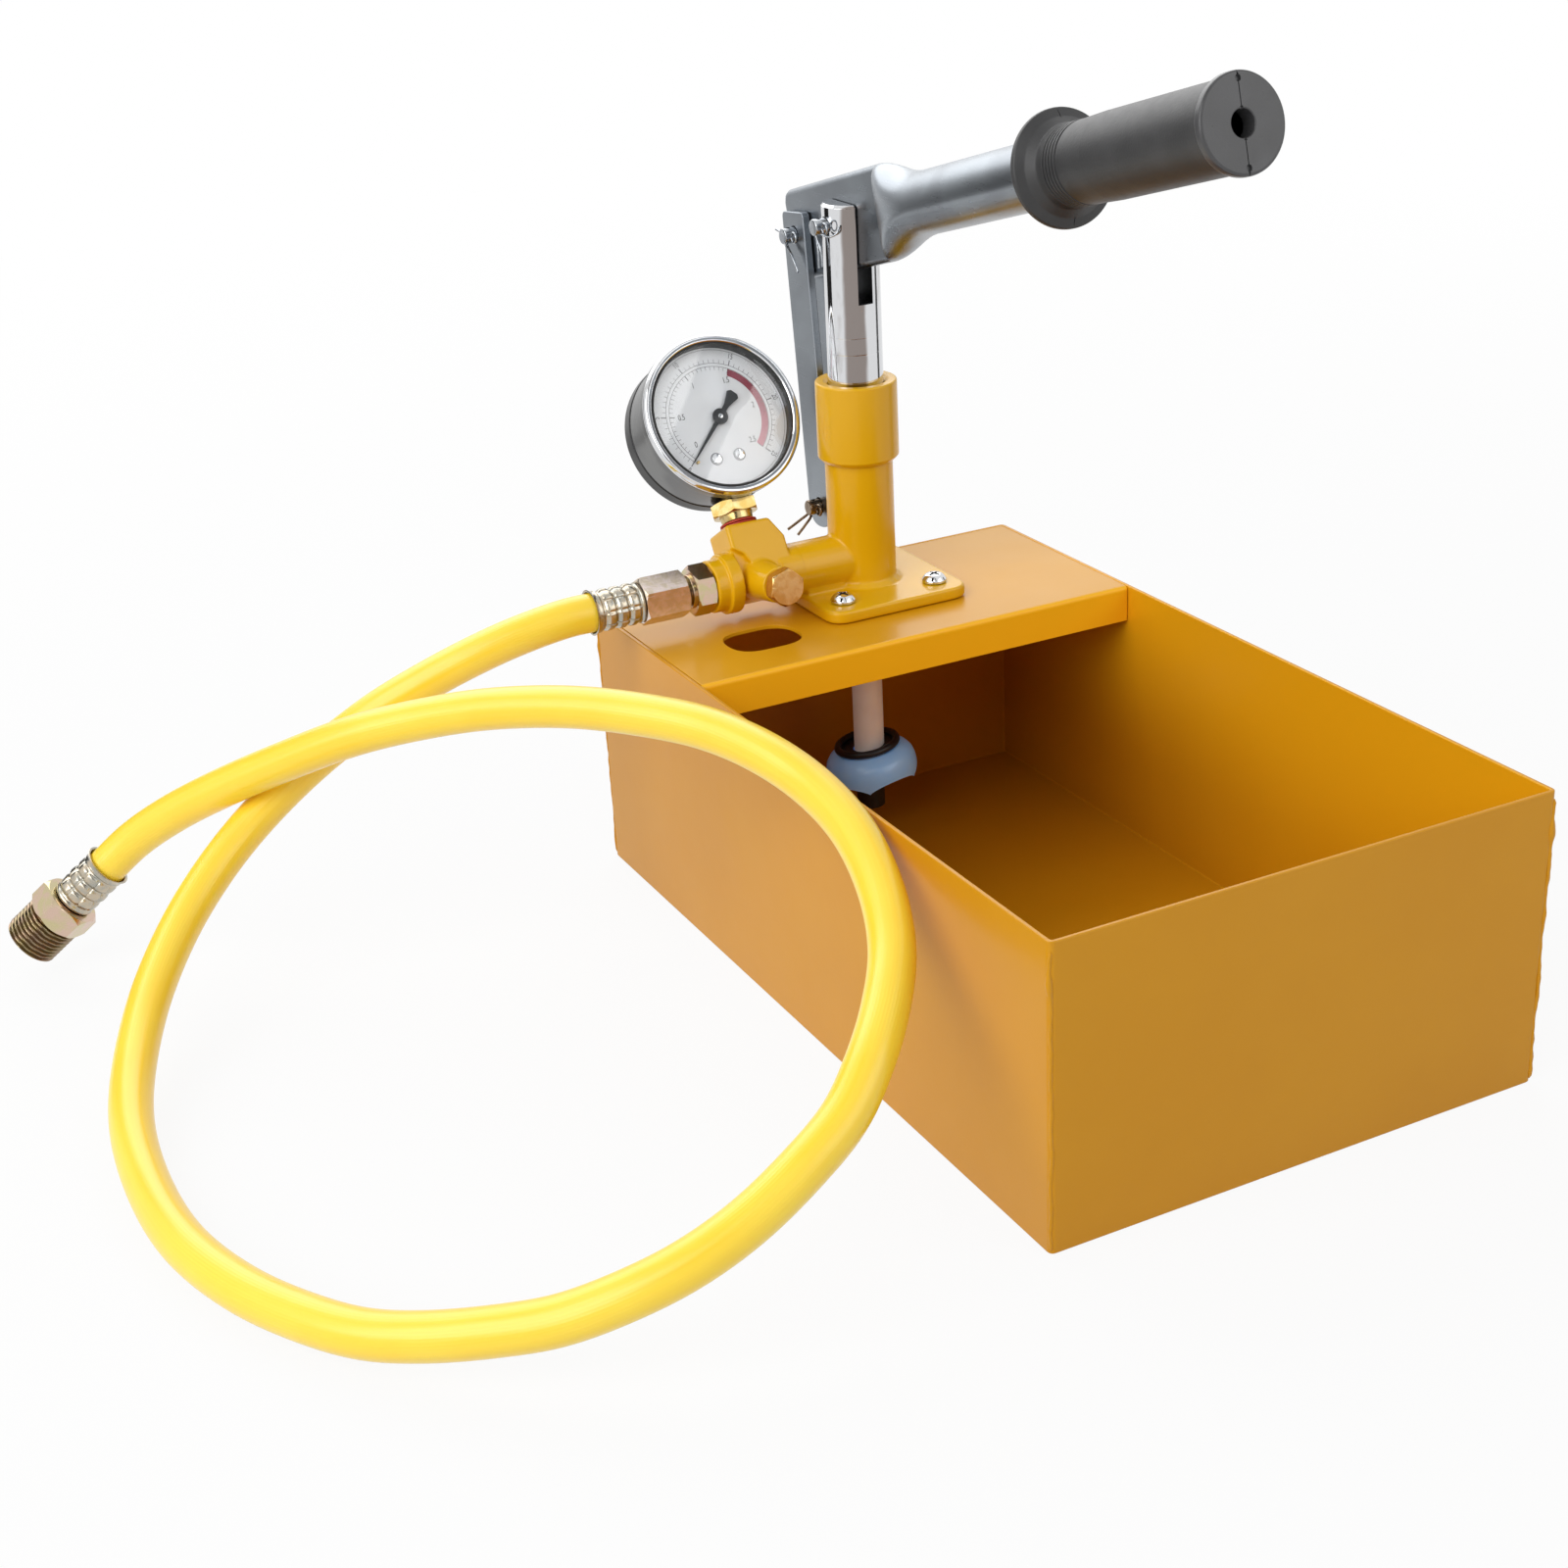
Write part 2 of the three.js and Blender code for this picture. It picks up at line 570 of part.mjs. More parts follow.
function handleLever() {
  const [thick, height, round] = [lever.plateThickness, lever.flatHeight, lever.diameter];
  const flat = thick / 2;
  const end = grip.end - grip.endWall - gap;
  const rear = [
    tubeSection(thick, height - 2 * lever.rearCorner, flat, -lever.rear),
    tubeSection(thick, height, flat, lever.rearCorner - lever.rear),
  ];
  const neck = flareShares.map(([place, widthShare, heightShare]) => {
    const width = thick + (round - thick) * widthShare;
    const tall = height + (round - height) * heightShare;
    const at = flare.start + (flare.end - flare.start) * place;
    return tubeSection(width, tall, Math.min(width, tall) / 2, at);
  });
  const body = solid(loft([...rear, ...neck, tubeSection(round, round, round / 2, end)]));
  const bore = rod(round / 2 - lever.wall, flare.end, end + overrun);
  const linkHole = cutter(pinRadius + gap, -thick, thick, [0, 0, -leverPin.linkBehind], "x", smallSides);
  const clear = pinRadius + slot.across;
  const [back, front] = [slot.across - slot.behind, slot.before - slot.across];
  const slotBar = roundBar([0, Math.min(back, 0)], [0, Math.max(front, 0)], clear);
  const plungerSlot = plate(slotBar, -thick, thick, "x");
  return named("handle_lever", cut(body, bore, linkHole, plungerSlot), zinc);
}

function handleGrip() {
  const [radius, flange, inner] = [grip.diameter / 2, grip.flange / 2, lever.diameter / 2 + gap];
  const discRadius = grip.endDisc / 2;
  const ribs = [];
  for (let i = 0; i < gripRib.count; i++) {
    const place = grip.start + gripRib.start + i * gripRib.step;
    const crest = [radius + gripRib.height, place + gripRib.width / 2];
    ribs.push([radius, place], crest, [radius, place + gripRib.width]);
  }
  const outline = [
    [inner, grip.start],
    [flange - gripRib.height, grip.start],
    [flange, grip.start + gripRib.height],
    [flange, grip.start + grip.flangeThick],
    [radius, grip.start + grip.flangeThick + gripRib.width],
    ...ribs,
    [radius, grip.end - grip.endDiscThick],
    [discRadius, grip.end - grip.endDiscThick],
    [discRadius, grip.end - gripRib.height],
    [discRadius - gripRib.height, grip.end],
    [grip.bore / 2, grip.end],
    [grip.bore / 2, grip.end - grip.endWall],
    [inner, grip.end - grip.endWall],
  ];
  return named("handle_grip", solid(turned(outline)), blackRubber);
}

// Tee: local +Z runs along the gauge stem from the pipe's axis, local -Y is the dial side
function toStem(body) {
  return body.rotate([-tee.tilt, 0, 0]);
}

function teeBlock() {
  const shape = new THREE.Shape();
  shape.moveTo(teeChamfer.lower - tee.left, -tee.low);
  shape.lineTo(tee.right - teeChamfer.lower, -tee.low);
  shape.lineTo(tee.right, teeChamfer.lower - tee.low);
  shape.lineTo(tee.right, tee.high - teeChamfer.upper);
  shape.lineTo(teeChamfer.side, tee.high);
  shape.lineTo(-tee.left, tee.high);
  shape.lineTo(-tee.left, teeChamfer.lower - tee.low);
  const upright = new THREE.ExtrudeGeometry(shape, { depth: 2 * tee.halfDepth, bevelEnabled: false });
  const block = toStem(solid(upright.rotateX(quarter).translate(0, tee.halfDepth, 0)));
  const [stubEnd, ringEnd, pipeFace] = [stub.end, ring.end, tee.start].map((at) => tee.gaugeAt - at);
  const stubRod = rod(stub.diameter / 2, stubEnd, pipeFace, [0, 0, 0], "x");
  const ringRod = rod(ring.diameter / 2, ringEnd, overrun - tee.left, [0, 0, 0], "x");
  const bossOutline = [[0, 0], [boss.base / 2, 0], [boss.top / 2, boss.end], [0, boss.end]];
  const towardsPlug = quarterTurn - plug.tilt;
  const plugBoss = solid(turned(bossOutline)).rotate([towardsPlug, 0, 0]);
  const whole = join(block, stubRod, ringRod, plugBoss);
  const spigotEnd = tee.gaugeAt - pipe.reach - spigot.length - gap;
  const pipeSocket = rod(spigot.diameter / 2 + gap, spigotEnd, pipeFace + overrun, [0, 0, 0], "x");
  const roomEnd = tee.gaugeAt - tee.end;
  const room = rod(chamber.diameter / 2, roomEnd, spigotEnd + overrun, [0, 0, 0], "x", sides / 2);
  const socketEnd = tee.gaugeAt - nipple.spigotStart + gap;
  const nippleSocket = rod(stub.socket / 2, stubEnd - overrun, socketEnd, [0, 0, 0], "x");
  const gaugePort = toStem(rod(stemSize.socket / 2 + gap, stemSize.reach - gap, tee.high + overrun));
  const gaugeWay = toStem(rod(stemSize.bore / 2, 0, tee.high));
  const plugThread = rod(plug.shank / 2 + gap, plug.reach - gap, boss.end + overrun);
  const plugHole = join(plugThread, rod(plug.drain / 2, 0, boss.end)).rotate([towardsPlug, 0, 0]);
  const body = cut(whole, pipeSocket, room, nippleSocket, gaugePort, gaugeWay, plugHole);
  return named("gauge_tee", body, pumpPaint);
}

function reliefPlug() {
  const head = hexBar(plug.flats, plug.headStart, plug.headStart + plug.headHeight, plug.chamfer);
  const shank = rod(plug.shank / 2, plug.reach, plug.headStart + overrun);
  return named("relief_plug", join(head, shank), yellowZinc);
}

function reliefWasher() {
  const low = boss.end + gap;
  const body = ringAt(plug.shank / 2 + gap, plugWasher.diameter / 2, low, low + plugWasher.thickness);
  return named("relief_washer", solid(body), fibre);
}

function ball(name) {
  return named(name, solid(new THREE.SphereGeometry(valve.ball / 2, smallSides, smallSides / 2)), steelBall);
}

// Where a ball rests on the edge of its seat, from the seat
function seatedHeight(bore) {
  return Math.sqrt((valve.ball / 2) ** 2 - (bore / 2) ** 2) + gap;
}

// Outlet fittings: local +Z runs along the pipe's axis, away from the column
function outletNipple() {
  const hex = hexBar(nipple.flats, nipple.hexStart, nipple.hexEnd, nipple.chamfer);
  const socketed = rod(stub.socket / 2 - gap, nipple.spigotStart, nipple.hexStart + overrun);
  const shoulder = rod(collar.diameter / 2, nipple.hexEnd - overrun, collar.end);
  const threadRod = rod(nipple.thread / 2, nipple.hexEnd - overrun, nipple.threadEnd);
  const bore = cutter(nipple.bore / 2, nipple.spigotStart, nipple.threadEnd, [0, 0, 0], "z", smallSides);
  return named("outlet_nipple", cut(join(hex, socketed, shoulder, threadRod), bore), yellowZinc);
}

function hoseUnionNut() {
  const hex = hexBar(hoseNut.flats, hoseNut.start, hoseNut.end, hoseNut.chamfer);
  const inside = rod(nipple.thread / 2 + gap, hoseNut.start - overrun, hoseNut.end - hoseNut.web);
  const hole = cutter(stem.diameter / 2 + gap, hoseNut.start, hoseNut.end);
  return named("hose_nut", cut(hex, inside, hole), yellowZinc);
}

// A crimped sleeve from its plain end to its flared rim, with a bulge between each pair of pressed rows.
function crimpedOutline(start, end, radius, waist, flange) {
  const at = (share) => start + (end - start) * share;
  const step = (end - start) * crimpStepShare;
  const rows = crimpShares.flatMap((share) => [
    [radius, at(share) - 2 * step],
    [waist, at(share) - step / 2],
    [waist, at(share) + step / 2],
    [radius, at(share) + 2 * step],
  ]);
  return [[radius - ferrule.wall, start], ...rows, [radius, at(rimShare)], [flange, end]];
}

function sleeve(start, end, radius, waist, flange) {
  const inside = hose.diameter / 2 + hose.clearance;
  const outline = [
    [0, start],
    ...crimpedOutline(start, end, radius, waist, flange),
    [flange - ferrule.wall, end],
    [inside, end - ferrule.rim / 2],
    [inside, end - ferrule.rim],
    [0, end - ferrule.rim],
  ];
  return solid(turned(outline));
}

function pumpFerrule() {
  const { start, end, diameter, waist, flange } = ferrule;
  const body = sleeve(start, end, diameter / 2, waist / 2, flange / 2);
  const headEnd = hoseNut.end - hoseNut.web - gap;
  const headStart = headEnd - stem.headLength;
  const tail = rod(stem.diameter / 2, headStart, start + overrun);
  const head = rod(stem.head / 2, headStart, headEnd);
  const bore = rod(nipple.bore / 2, headStart - overrun, end, [0, 0, 0], "z", smallSides);
  return named("pump_ferrule", cut(join(body, tail, head), bore), yellowZinc);
}

// Far end: local +Z runs from the ferrule's rim to the thread's end
function farFerrule() {
  const body = sleeve(0, farEnd.ferrule, farEnd.diameter / 2, farEnd.waist / 2, farEnd.flange / 2);
  const bore = cutter(farHex.neck / 2 + gap, 0, farHex.neckIn, [0, 0, 0], "z");
  const turnedRound = cut(body, bore).rotate([2 * quarterTurn, 0, 0]).translate([0, 0, farEnd.ferrule]);
  return named("far_ferrule", turnedRound, yellowZinc);
}

function farFitting() {
  const hexEnd = farHex.start + farHex.length;
  const end = hexEnd + thread.length;
  const neckStart = farEnd.ferrule - farHex.neckIn + gap;
  const hex = hexBar(farHex.flats, farHex.start, hexEnd, farHex.chamfer);
  const neck = rod(farHex.neck / 2, neckStart, farHex.start + overrun);
  const [crest, root] = [thread.diameter / 2, thread.diameter / 2 - thread.depth];
  const outline = [[0, hexEnd - overrun], [root, hexEnd - overrun], [root, hexEnd + thread.relief]];
  const turns = Math.floor((thread.length - thread.relief) / thread.pitch);
  for (let i = 0; i < turns; i++) {
    const at = (share) => hexEnd + thread.relief + (i + share) * thread.pitch;
    const { crestStart, crestEnd, rootStart } = threadShares;
    outline.push([crest, at(crestStart)], [crest, at(crestEnd)], [root, at(rootStart)]);
  }
  outline.push([root, end], [0, end]);
  const threaded = solid(turned(outline, thread.sides));
  const passage = rod(farHex.bore / 2, neckStart - overrun, hexEnd + overrun, [0, 0, 0], "z", smallSides);
  const mouth = rod(thread.bore / 2, hexEnd, end + overrun);
  return named("far_end_fitting", cut(join(hex, threaded, neck), passage, mouth), yellowZinc);
}

const hoseCurve = new THREE.CatmullRomCurve3(hosePoints.map((point) => new THREE.Vector3(...point)));

function hoseTube() {
  const section = new THREE.Shape();
  for (let i = 0; i < hose.sides; i++) {
    const angle = (i / hose.sides) * 4 * quarter;
    const [x, y] = [Math.cos(angle), Math.sin(angle)].map((share) => (share * hose.diameter) / 2);
    if (i) section.lineTo(x, y);
    else section.moveTo(x, y);
  }
  const along = { steps: hose.steps, extrudePath: hoseCurve, bevelEnabled: false };
  return named("hose", solid(new THREE.ExtrudeGeometry(section, along)), hoseYellow);
}

// Gauge stem and washers: local +Z runs along the stem
function gaugeStem() {
  const hex = hexBar(stemHex.flats, stemHex.start, stemHex.end, stemHex.chamfer);
  const socketed = rod(stemSize.socket / 2, stemSize.reach, stemHex.start);
  const neckStart = sealWasher.start + 2 * (sealWasher.thickness + gap);
  const neck = rod(stemSize.neck / 2, neckStart, stemSize.collarEnd);
  const upper = rod(stemSize.upper / 2, stemHex.end, stemSize.top);
  const bore = cutter(stemSize.bore / 2, stemSize.reach, stemSize.top, [0, 0, 0], "z", smallSides);
  return named("gauge_stem", cut(join(hex, socketed, neck, upper), bore), brass);
}

function stemWasher(name, index) {
  const low = sealWasher.start + index * (sealWasher.thickness + gap);
  const [inner, outer] = [stemSize.socket / 2 + gap, sealWasher.diameter / 2];
  return named(name, solid(ringAt(inner, outer, low, low + sealWasher.thickness)), fibre);
}

// Gauge head: local +Z faces the reader, local +Y is up the dial, and zero depth is the stem's axis
function stemHole() {
  const top = stemSize.top - gauge.centre;
  return rod(stemSize.upper / 2 + gap, -gauge.centre, top, [0, 0, 0], "y", smallSides);
}

function gaugeCase() {
  const [outer, inner] = [gauge.caseRadius, gauge.caseRadius - gauge.wall];
  const outline = [
    [0, gauge.back],
    [outer - gauge.wall, gauge.back],
    [outer, gauge.back + gauge.wall],
    [outer, gauge.rim],
    [inner, gauge.rim],
    [inner, gauge.back + gauge.wall],
    [0, gauge.back + gauge.wall],
  ];
  return named("gauge_case", cut(solid(turned(outline, fineSides)), stemHole()), satinSteel);
}

function gaugeBand() {
  const ringBody = solid(ringAt(band.inner, band.outer, gauge.back, gauge.back + band.width, fineSides));
  return named("gauge_rear_band", cut(ringBody, stemHole()), blackPaint);
}

function gaugeBezel() {
  const inner = gauge.caseRadius + gap;
  const arc = bezel.round * bezel.arcShare;
  const outline = [
    [inner, bezel.rear],
    [bezel.radius - bezel.round / 2, bezel.rear],
    [bezel.radius, bezel.rear + bezel.round / 2],
    [bezel.radius, bezel.front - bezel.round],
    [bezel.radius - arc, bezel.front - arc],
    [bezel.radius - bezel.round, bezel.front],
    [bezel.lip, bezel.front],
    [bezel.lip, bezel.front - bezel.lipThick],
    [inner, bezel.front - bezel.lipThick],
  ];
  return named("gauge_bezel", solid(turned(outline, fineSides)), chrome);
}

function gaugeWindow() {
  const low = gauge.rim + gap;
  const pane = disc(gauge.caseRadius, low, low + glass.thickness, fineSides);
  return named("gauge_window", solid(pane), clearGlass);
}

function dialScrewRods(radius, low, high) {
  return dialScrewPlaces.map((place) => rod(radius, low, high, [...place, 0], "z", smallSides / 2));
}

function gaugeDial() {
  const low = dial.front - dial.thickness;
  const plateBody = solid(disc(dial.radius, low, dial.front, fineSides));
  const hole = cutter(dial.hole / 2, low, dial.front, [0, 0, 0], "z", smallSides);
  const holes = dialScrewRods(dialScrews.shank / 2 + gap, low - overrun, dial.front + overrun);
  return named("gauge_dial", cut(plateBody, hole, ...holes), dialWhite);
}

function dialScrew(index) {
  const seat = dial.front + gap;
  const top = seat + dialScrews.headHeight;
  const head = rod(dialScrews.head / 2, seat, top, [...dialScrewPlaces[index], 0], "z", smallSides);
  const shanks = dialScrewRods(dialScrews.shank / 2, seat - dialScrews.length, (seat + top) / 2);
  return named("dial_screw_" + (index + 1), join(head, shanks[index]), chrome);
}

function dialStop() {
  const angle = THREE.MathUtils.degToRad(stopPin.angle);
  const place = [stopPin.radius * Math.cos(angle), stopPin.radius * Math.sin(angle), 0];
  const low = dial.front + gap;
  const peg = rod(stopPin.diameter / 2, low, low + stopPin.height, place, "z", smallSides / 2);
  return named("dial_stop_pin", peg, chrome);
}

function gaugePointer() {
  const low = dial.front + pointer.lift;
  const arm = new THREE.Shape();
  arm.moveTo(pointer.length, 0);
  arm.lineTo(pointer.length - pointer.tipWidth, pointer.tipWidth / 2);
  arm.lineTo(0, pointer.rootWidth / 2);
  arm.lineTo(-pointer.tail, pointer.tailWidth / 2);
  arm.lineTo(-pointer.tail, -pointer.tailWidth / 2);
  arm.lineTo(0, -pointer.rootWidth / 2);
  arm.lineTo(pointer.length - pointer.tipWidth, -pointer.tipWidth / 2);
  const hand = plate(arm, low, low + pointer.thickness);
  const cap = rod(hub.diameter / 2, low, low + hub.height);
  const shaftTop = low + pointer.thickness;
  const shaft = rod(staff.diameter / 2, low - staff.length, shaftTop, [0, 0, 0], "z", smallSides);
  const body = join(hand, cap, shaft).rotate([0, 0, pointer.zeroAngle]);
  return named("gauge_pointer", body, blackPaint);
}

function gaugeMovement() {
  const { halfWidth, blockHalf, blockHigh, back, top } = movement;
  const bottom = stemSize.top + gap - gauge.centre;
  const block = box(-blockHalf, blockHalf, bottom, blockHigh, gauge.back + gauge.wall + gap, top);
  const bridge = box(-halfWidth, halfWidth, movement.low, movement.high, back, top);
  const postTop = dial.front - dial.thickness - gap;
  const posts = dialScrewRods(dialScrews.post / 2, top - movement.post, postTop);
  const holes = dialScrewRods(dialScrews.shank / 2 + gap, back, postTop + overrun);
  const bearing = cutter(staff.diameter / 2 + gap, back, top, [0, 0, 0], "z", smallSides);
  const seat = rod(movement.seat / 2, bottom - overrun, bottom + overrun, [0, 0, 0], "y", smallSides);
  return named("gauge_movement", cut(join(block, bridge, ...posts), ...holes, bearing, seat), brass);
}

function bourdonTube() {
  const [start, end] = [bourdonArc.startAngle, bourdonArc.endAngle].map(THREE.MathUtils.degToRad);
  const rings = [];
  for (let i = 0; i <= bourdon.steps; i++) {
    const angle = start + ((end - start) * i) / bourdon.steps;
    const outward = new THREE.Vector3(Math.cos(angle), Math.sin(angle), 0);
    const ringPoints = [];
    for (let j = 0; j < bourdon.sides; j++) {
      const turn = (j / bourdon.sides) * 4 * quarter;
      const radius = bourdon.radius + (bourdon.thickness / 2) * Math.cos(turn);
      const depth = -(bourdon.across / 2) * Math.sin(turn);
      ringPoints.push([outward.x * radius, outward.y * radius, depth]);
    }
    rings.push(ringPoints);
  }
  return named("bourdon_tube", solid(loft(rings)), brass);
}

// Suction side, on the column's axis
function suctionTube() {
  const top = tank.height + suction.top;
  const body = ringAt(suction.bore / 2, suction.diameter / 2, suction.bottom, top);
  return named("suction_tube", solid(body), tubeWhite);
}

function suctionFoot() {
  const outline = [
    [foot.bore / 2, foot.bottom],
    [foot.diameter / 2, foot.bottom],
    [foot.diameter / 2, foot.shoulderLow],
    [foot.shoulder / 2, foot.shoulderLow],
    [foot.shoulder / 2, foot.shoulderHigh],
    [foot.spigot / 2, foot.shoulderHigh],
    [foot.spigot / 2, foot.spigotTop],
    [foot.bore / 2, foot.spigotTop],
  ];
  return named("suction_foot", solid(turned(outline)), blackRubber);
}

// Outline shares of the strainer cup: radius, and height above its teeth
const cupShares = [[0.97, 0], [0.985, 0.2], [1, 0.42], [0.985, 0.62], [0.9, 0.85], [0.73, 1]];
const toothShares = { depth: 0.34, width: 0.9 };

function strainerCup() {
  const top = cupRing.height - cupRing.section / 2 - gap;
  const bottom = web.height - toothShares.depth * cup.radius;
  const at = ([radius, height], inset) => [cup.radius * radius - inset, bottom + (top - bottom) * height];
  const outer = cupShares.map((share) => at(share, 0));
  const inner = cupShares.map((share) => at(share, cup.wall)).reverse();
  const shell = solid(turned([...outer, ...inner], fineSides));
  const webOuter = cup.radius - cup.wall / 2;
  const webRing = ringAt(cup.hole / 2, webOuter, web.height, web.height + web.thickness, fineSides);
  const notches = [];
  for (let i = 0; i < toothCount; i++) {
    const angle = ((i + notchTurnShare) / toothCount) * 4 * quarterTurn;
    const radius = (Math.PI * cup.radius * toothShares.width) / toothCount;
    const squash = (toothShares.depth * cup.radius * toothShares.width) / radius;
    const arch = disc(radius, 0, cup.radius * 2, sides / 2).rotateY(quarter).scale(1, 1, squash);
    notches.push(solid(arch.translate(cup.wall, 0, bottom)).rotate([0, 0, angle]));
  }
  return named("strainer_cup", cut(join(shell, solid(webRing)), ...notches), strainerBlue);
}

function strainerRing() {
  const radius = cupRing.section / 2;
  const torus = new THREE.TorusGeometry(cupRing.outer / 2 - radius, radius, smallSides / 2, sides);
  return named("strainer_ring", solid(torus.translate(0, 0, cupRing.height)), blackRubber);
}

// Assembly
const pump = new THREE.Group();
const onShelf = placed(new THREE.Group(), [0, 0, tank.height], [0, 0, 0]);
const plungerPlace = [column.x, columnY, leverPin.height];
const upperPlace = [column.x, upperPinY, upperPinZ];
const lowerPlace = [column.x, columnY + lowerPin.behind, lowerPin.height];
pump.add(tankBody(), tankShelf(), onShelf);
onShelf.add(pumpBody());
screwPlaces().forEach((place, i) => onShelf.add(baseScrew(i + 1, place), baseNut(i + 1, place)));
const packingTop = column.top + gap + packing.height;
onShelf.add(glandCap());
onShelf.add(glandRing("gland_packing", column.top + gap, packingTop, blackRubber));
onShelf.add(glandRing("guide_bush", packingTop + gap, gland.top - gland.web - gap, brass));
onShelf.add(plungerBody());
onShelf.add(clevisPin("plunger_pin", plungerRadius, plungerPlace));
onShelf.add(splitPin("plunger_cotter", plungerRadius, plungerPlace));
onShelf.add(clevisPin("upper_link_pin", strapOutside, upperPlace));
onShelf.add(splitPin("upper_cotter", strapOutside, upperPlace));
onShelf.add(clevisPin("lower_link_pin", strapOutside, lowerPlace));
onShelf.add(splitPin("lower_cotter", strapOutside, lowerPlace));
onShelf.add(linkStrap("link_strap_left", -1), linkStrap("link_strap_right", 1));

const handle = placed(new THREE.Group(), plungerPlace, [quarter - leverTilt, 0, 0]);
handle.add(handleLever(), handleGrip());
onShelf.add(handle);

const teeGroup = placed(new THREE.Group(), [column.x - tee.gaugeAt, columnY, pipe.height], [0, 0, 0]);
const outletBall = ball("outlet_ball");
outletBall.position.x = tee.gaugeAt - pipe.reach - spigot.length - seatedHeight(pipe.bore);
teeGroup.add(teeBlock(), outletBall);
const plugGroup = placed(new THREE.Group(), [0, 0, 0], [quarter - THREE.MathUtils.degToRad(plug.tilt), 0, 0]);
plugGroup.add(reliefPlug(), reliefWasher());
teeGroup.add(plugGroup);

const gaugeGroup = placed(new THREE.Group(), [0, 0, 0], [-THREE.MathUtils.degToRad(tee.tilt), 0, 0]);
gaugeGroup.add(gaugeStem(), stemWasher("gauge_washer_lower", 0), stemWasher("gauge_washer_upper", 1));
const head = placed(new THREE.Group(), [0, 0, gauge.centre], [quarter, 0, 0]);
head.add(gaugeCase(), gaugeBand(), gaugeBezel(), gaugeWindow(), gaugeDial(), dialStop());
dialScrewPlaces.forEach((place, i) => head.add(dialScrew(i)));
head.add(gaugePointer(), gaugeMovement(), bourdonTube());
gaugeGroup.add(head);
teeGroup.add(gaugeGroup);
onShelf.add(teeGroup);

const outletGroup = placed(new THREE.Group(), [column.x, columnY, pipe.height], [0, -quarter, 0]);
outletGroup.add(outletNipple(), hoseUnionNut(), pumpFerrule());
onShelf.add(outletGroup);

const farGroup = new THREE.Group();
const farDirection = hoseCurve.getTangentAt(1);
farGroup.position.set(...hosePoints.at(-1)).addScaledVector(farDirection, gap - ferrule.rim);
farGroup.quaternion.setFromUnitVectors(new THREE.Vector3(0, 0, 1), farDirection);
farGroup.add(farFerrule(), farFitting());
pump.add(hoseTube(), farGroup);

const suctionBall = ball("suction_ball");
suctionBall.position.set(column.x, columnY, chamber.bottom + seatedHeight(chamber.seatBore));
const suctionGroup = placed(new THREE.Group(), [column.x, columnY, 0], [0, 0, 0]);
suctionGroup.add(suctionTube(), suctionFoot());
const lean = THREE.MathUtils.degToRad(cup.tilt);
const cupGroup = placed(new THREE.Group(), [0, 0, cup.pivot], [0, 0, 0]);
cupGroup.quaternion.setFromAxisAngle(new THREE.Vector3(-cup.towards[1], cup.towards[0], 0).normalize(), lean);
const cupInside = placed(new THREE.Group(), [0, 0, -cup.pivot], [0, 0, 0]);
cupInside.add(strainerCup(), strainerRing());
cupGroup.add(cupInside);
suctionGroup.add(cupGroup);
onShelf.add(suctionBall);
pump.add(suctionGroup);

export default pump;
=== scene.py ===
from math import atan2, copysign, cos, exp, pi, radians, sin, sqrt, tan

import bpy
from mathutils import Matrix, Vector, noise


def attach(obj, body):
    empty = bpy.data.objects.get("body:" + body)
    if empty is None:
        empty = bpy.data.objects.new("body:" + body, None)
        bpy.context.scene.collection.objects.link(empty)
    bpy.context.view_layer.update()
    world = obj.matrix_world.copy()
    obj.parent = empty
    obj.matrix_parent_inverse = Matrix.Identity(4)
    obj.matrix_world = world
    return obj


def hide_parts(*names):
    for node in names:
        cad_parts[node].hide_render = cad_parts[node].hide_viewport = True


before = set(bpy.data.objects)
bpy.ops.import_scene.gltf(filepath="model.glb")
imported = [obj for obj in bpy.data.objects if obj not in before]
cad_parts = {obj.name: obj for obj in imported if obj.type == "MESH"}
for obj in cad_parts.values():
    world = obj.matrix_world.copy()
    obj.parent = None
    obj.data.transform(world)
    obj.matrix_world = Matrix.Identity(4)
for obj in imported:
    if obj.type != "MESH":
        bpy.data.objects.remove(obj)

# A hand-operated pressure test pump: an open sheet-metal tank, a lever-driven plunger pump on its shelf,
# a dial gauge and a hose. Sizes are in millimetres, and a mesh is made in metres.
MM = 0.001
TURN = 2 * pi
SHARP = radians(40)
FINE_MESH = 40000
WHITE = (1, 1, 1, 1)

# Sizes and places that several pieces share
OVERRUN, GAP = 2, 0.3
TANK_WIDTH, TANK_LENGTH, SHEET = 185, 320, 1.5
SHELF_Z, SHELF_FRONT, SHELF_BACK, LIP, BEND = 104, 67, 158.2, 14, 2
COLUMN_X, COLUMN_Y, SUCTION_HOLE = 5.5, 123, 6.3
PIPE_Z, GAUGE_AT, PIPE_THREAD = 118.3, 46.9, 6
SCREW_X, SCREW_Y, SCREW_HOLE = 20, 20.5, 2.8
PLUNGER, PIN_Z, PIN_HOLE = 10.5, 246, 3.3
LINK_FOOT, LINK_HEAD, STRAP_FACE = (146, 133), (156.807, 236.941), 6
GRIP_START, GRIP_END = 144, 239
HOSE_DIAMETER, RIM = 14.5, 2.4
STEM_BORE, STEM_HOLE = 1.6, 4.8

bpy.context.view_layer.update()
bpy.context.scene.view_settings.view_transform = "Standard"


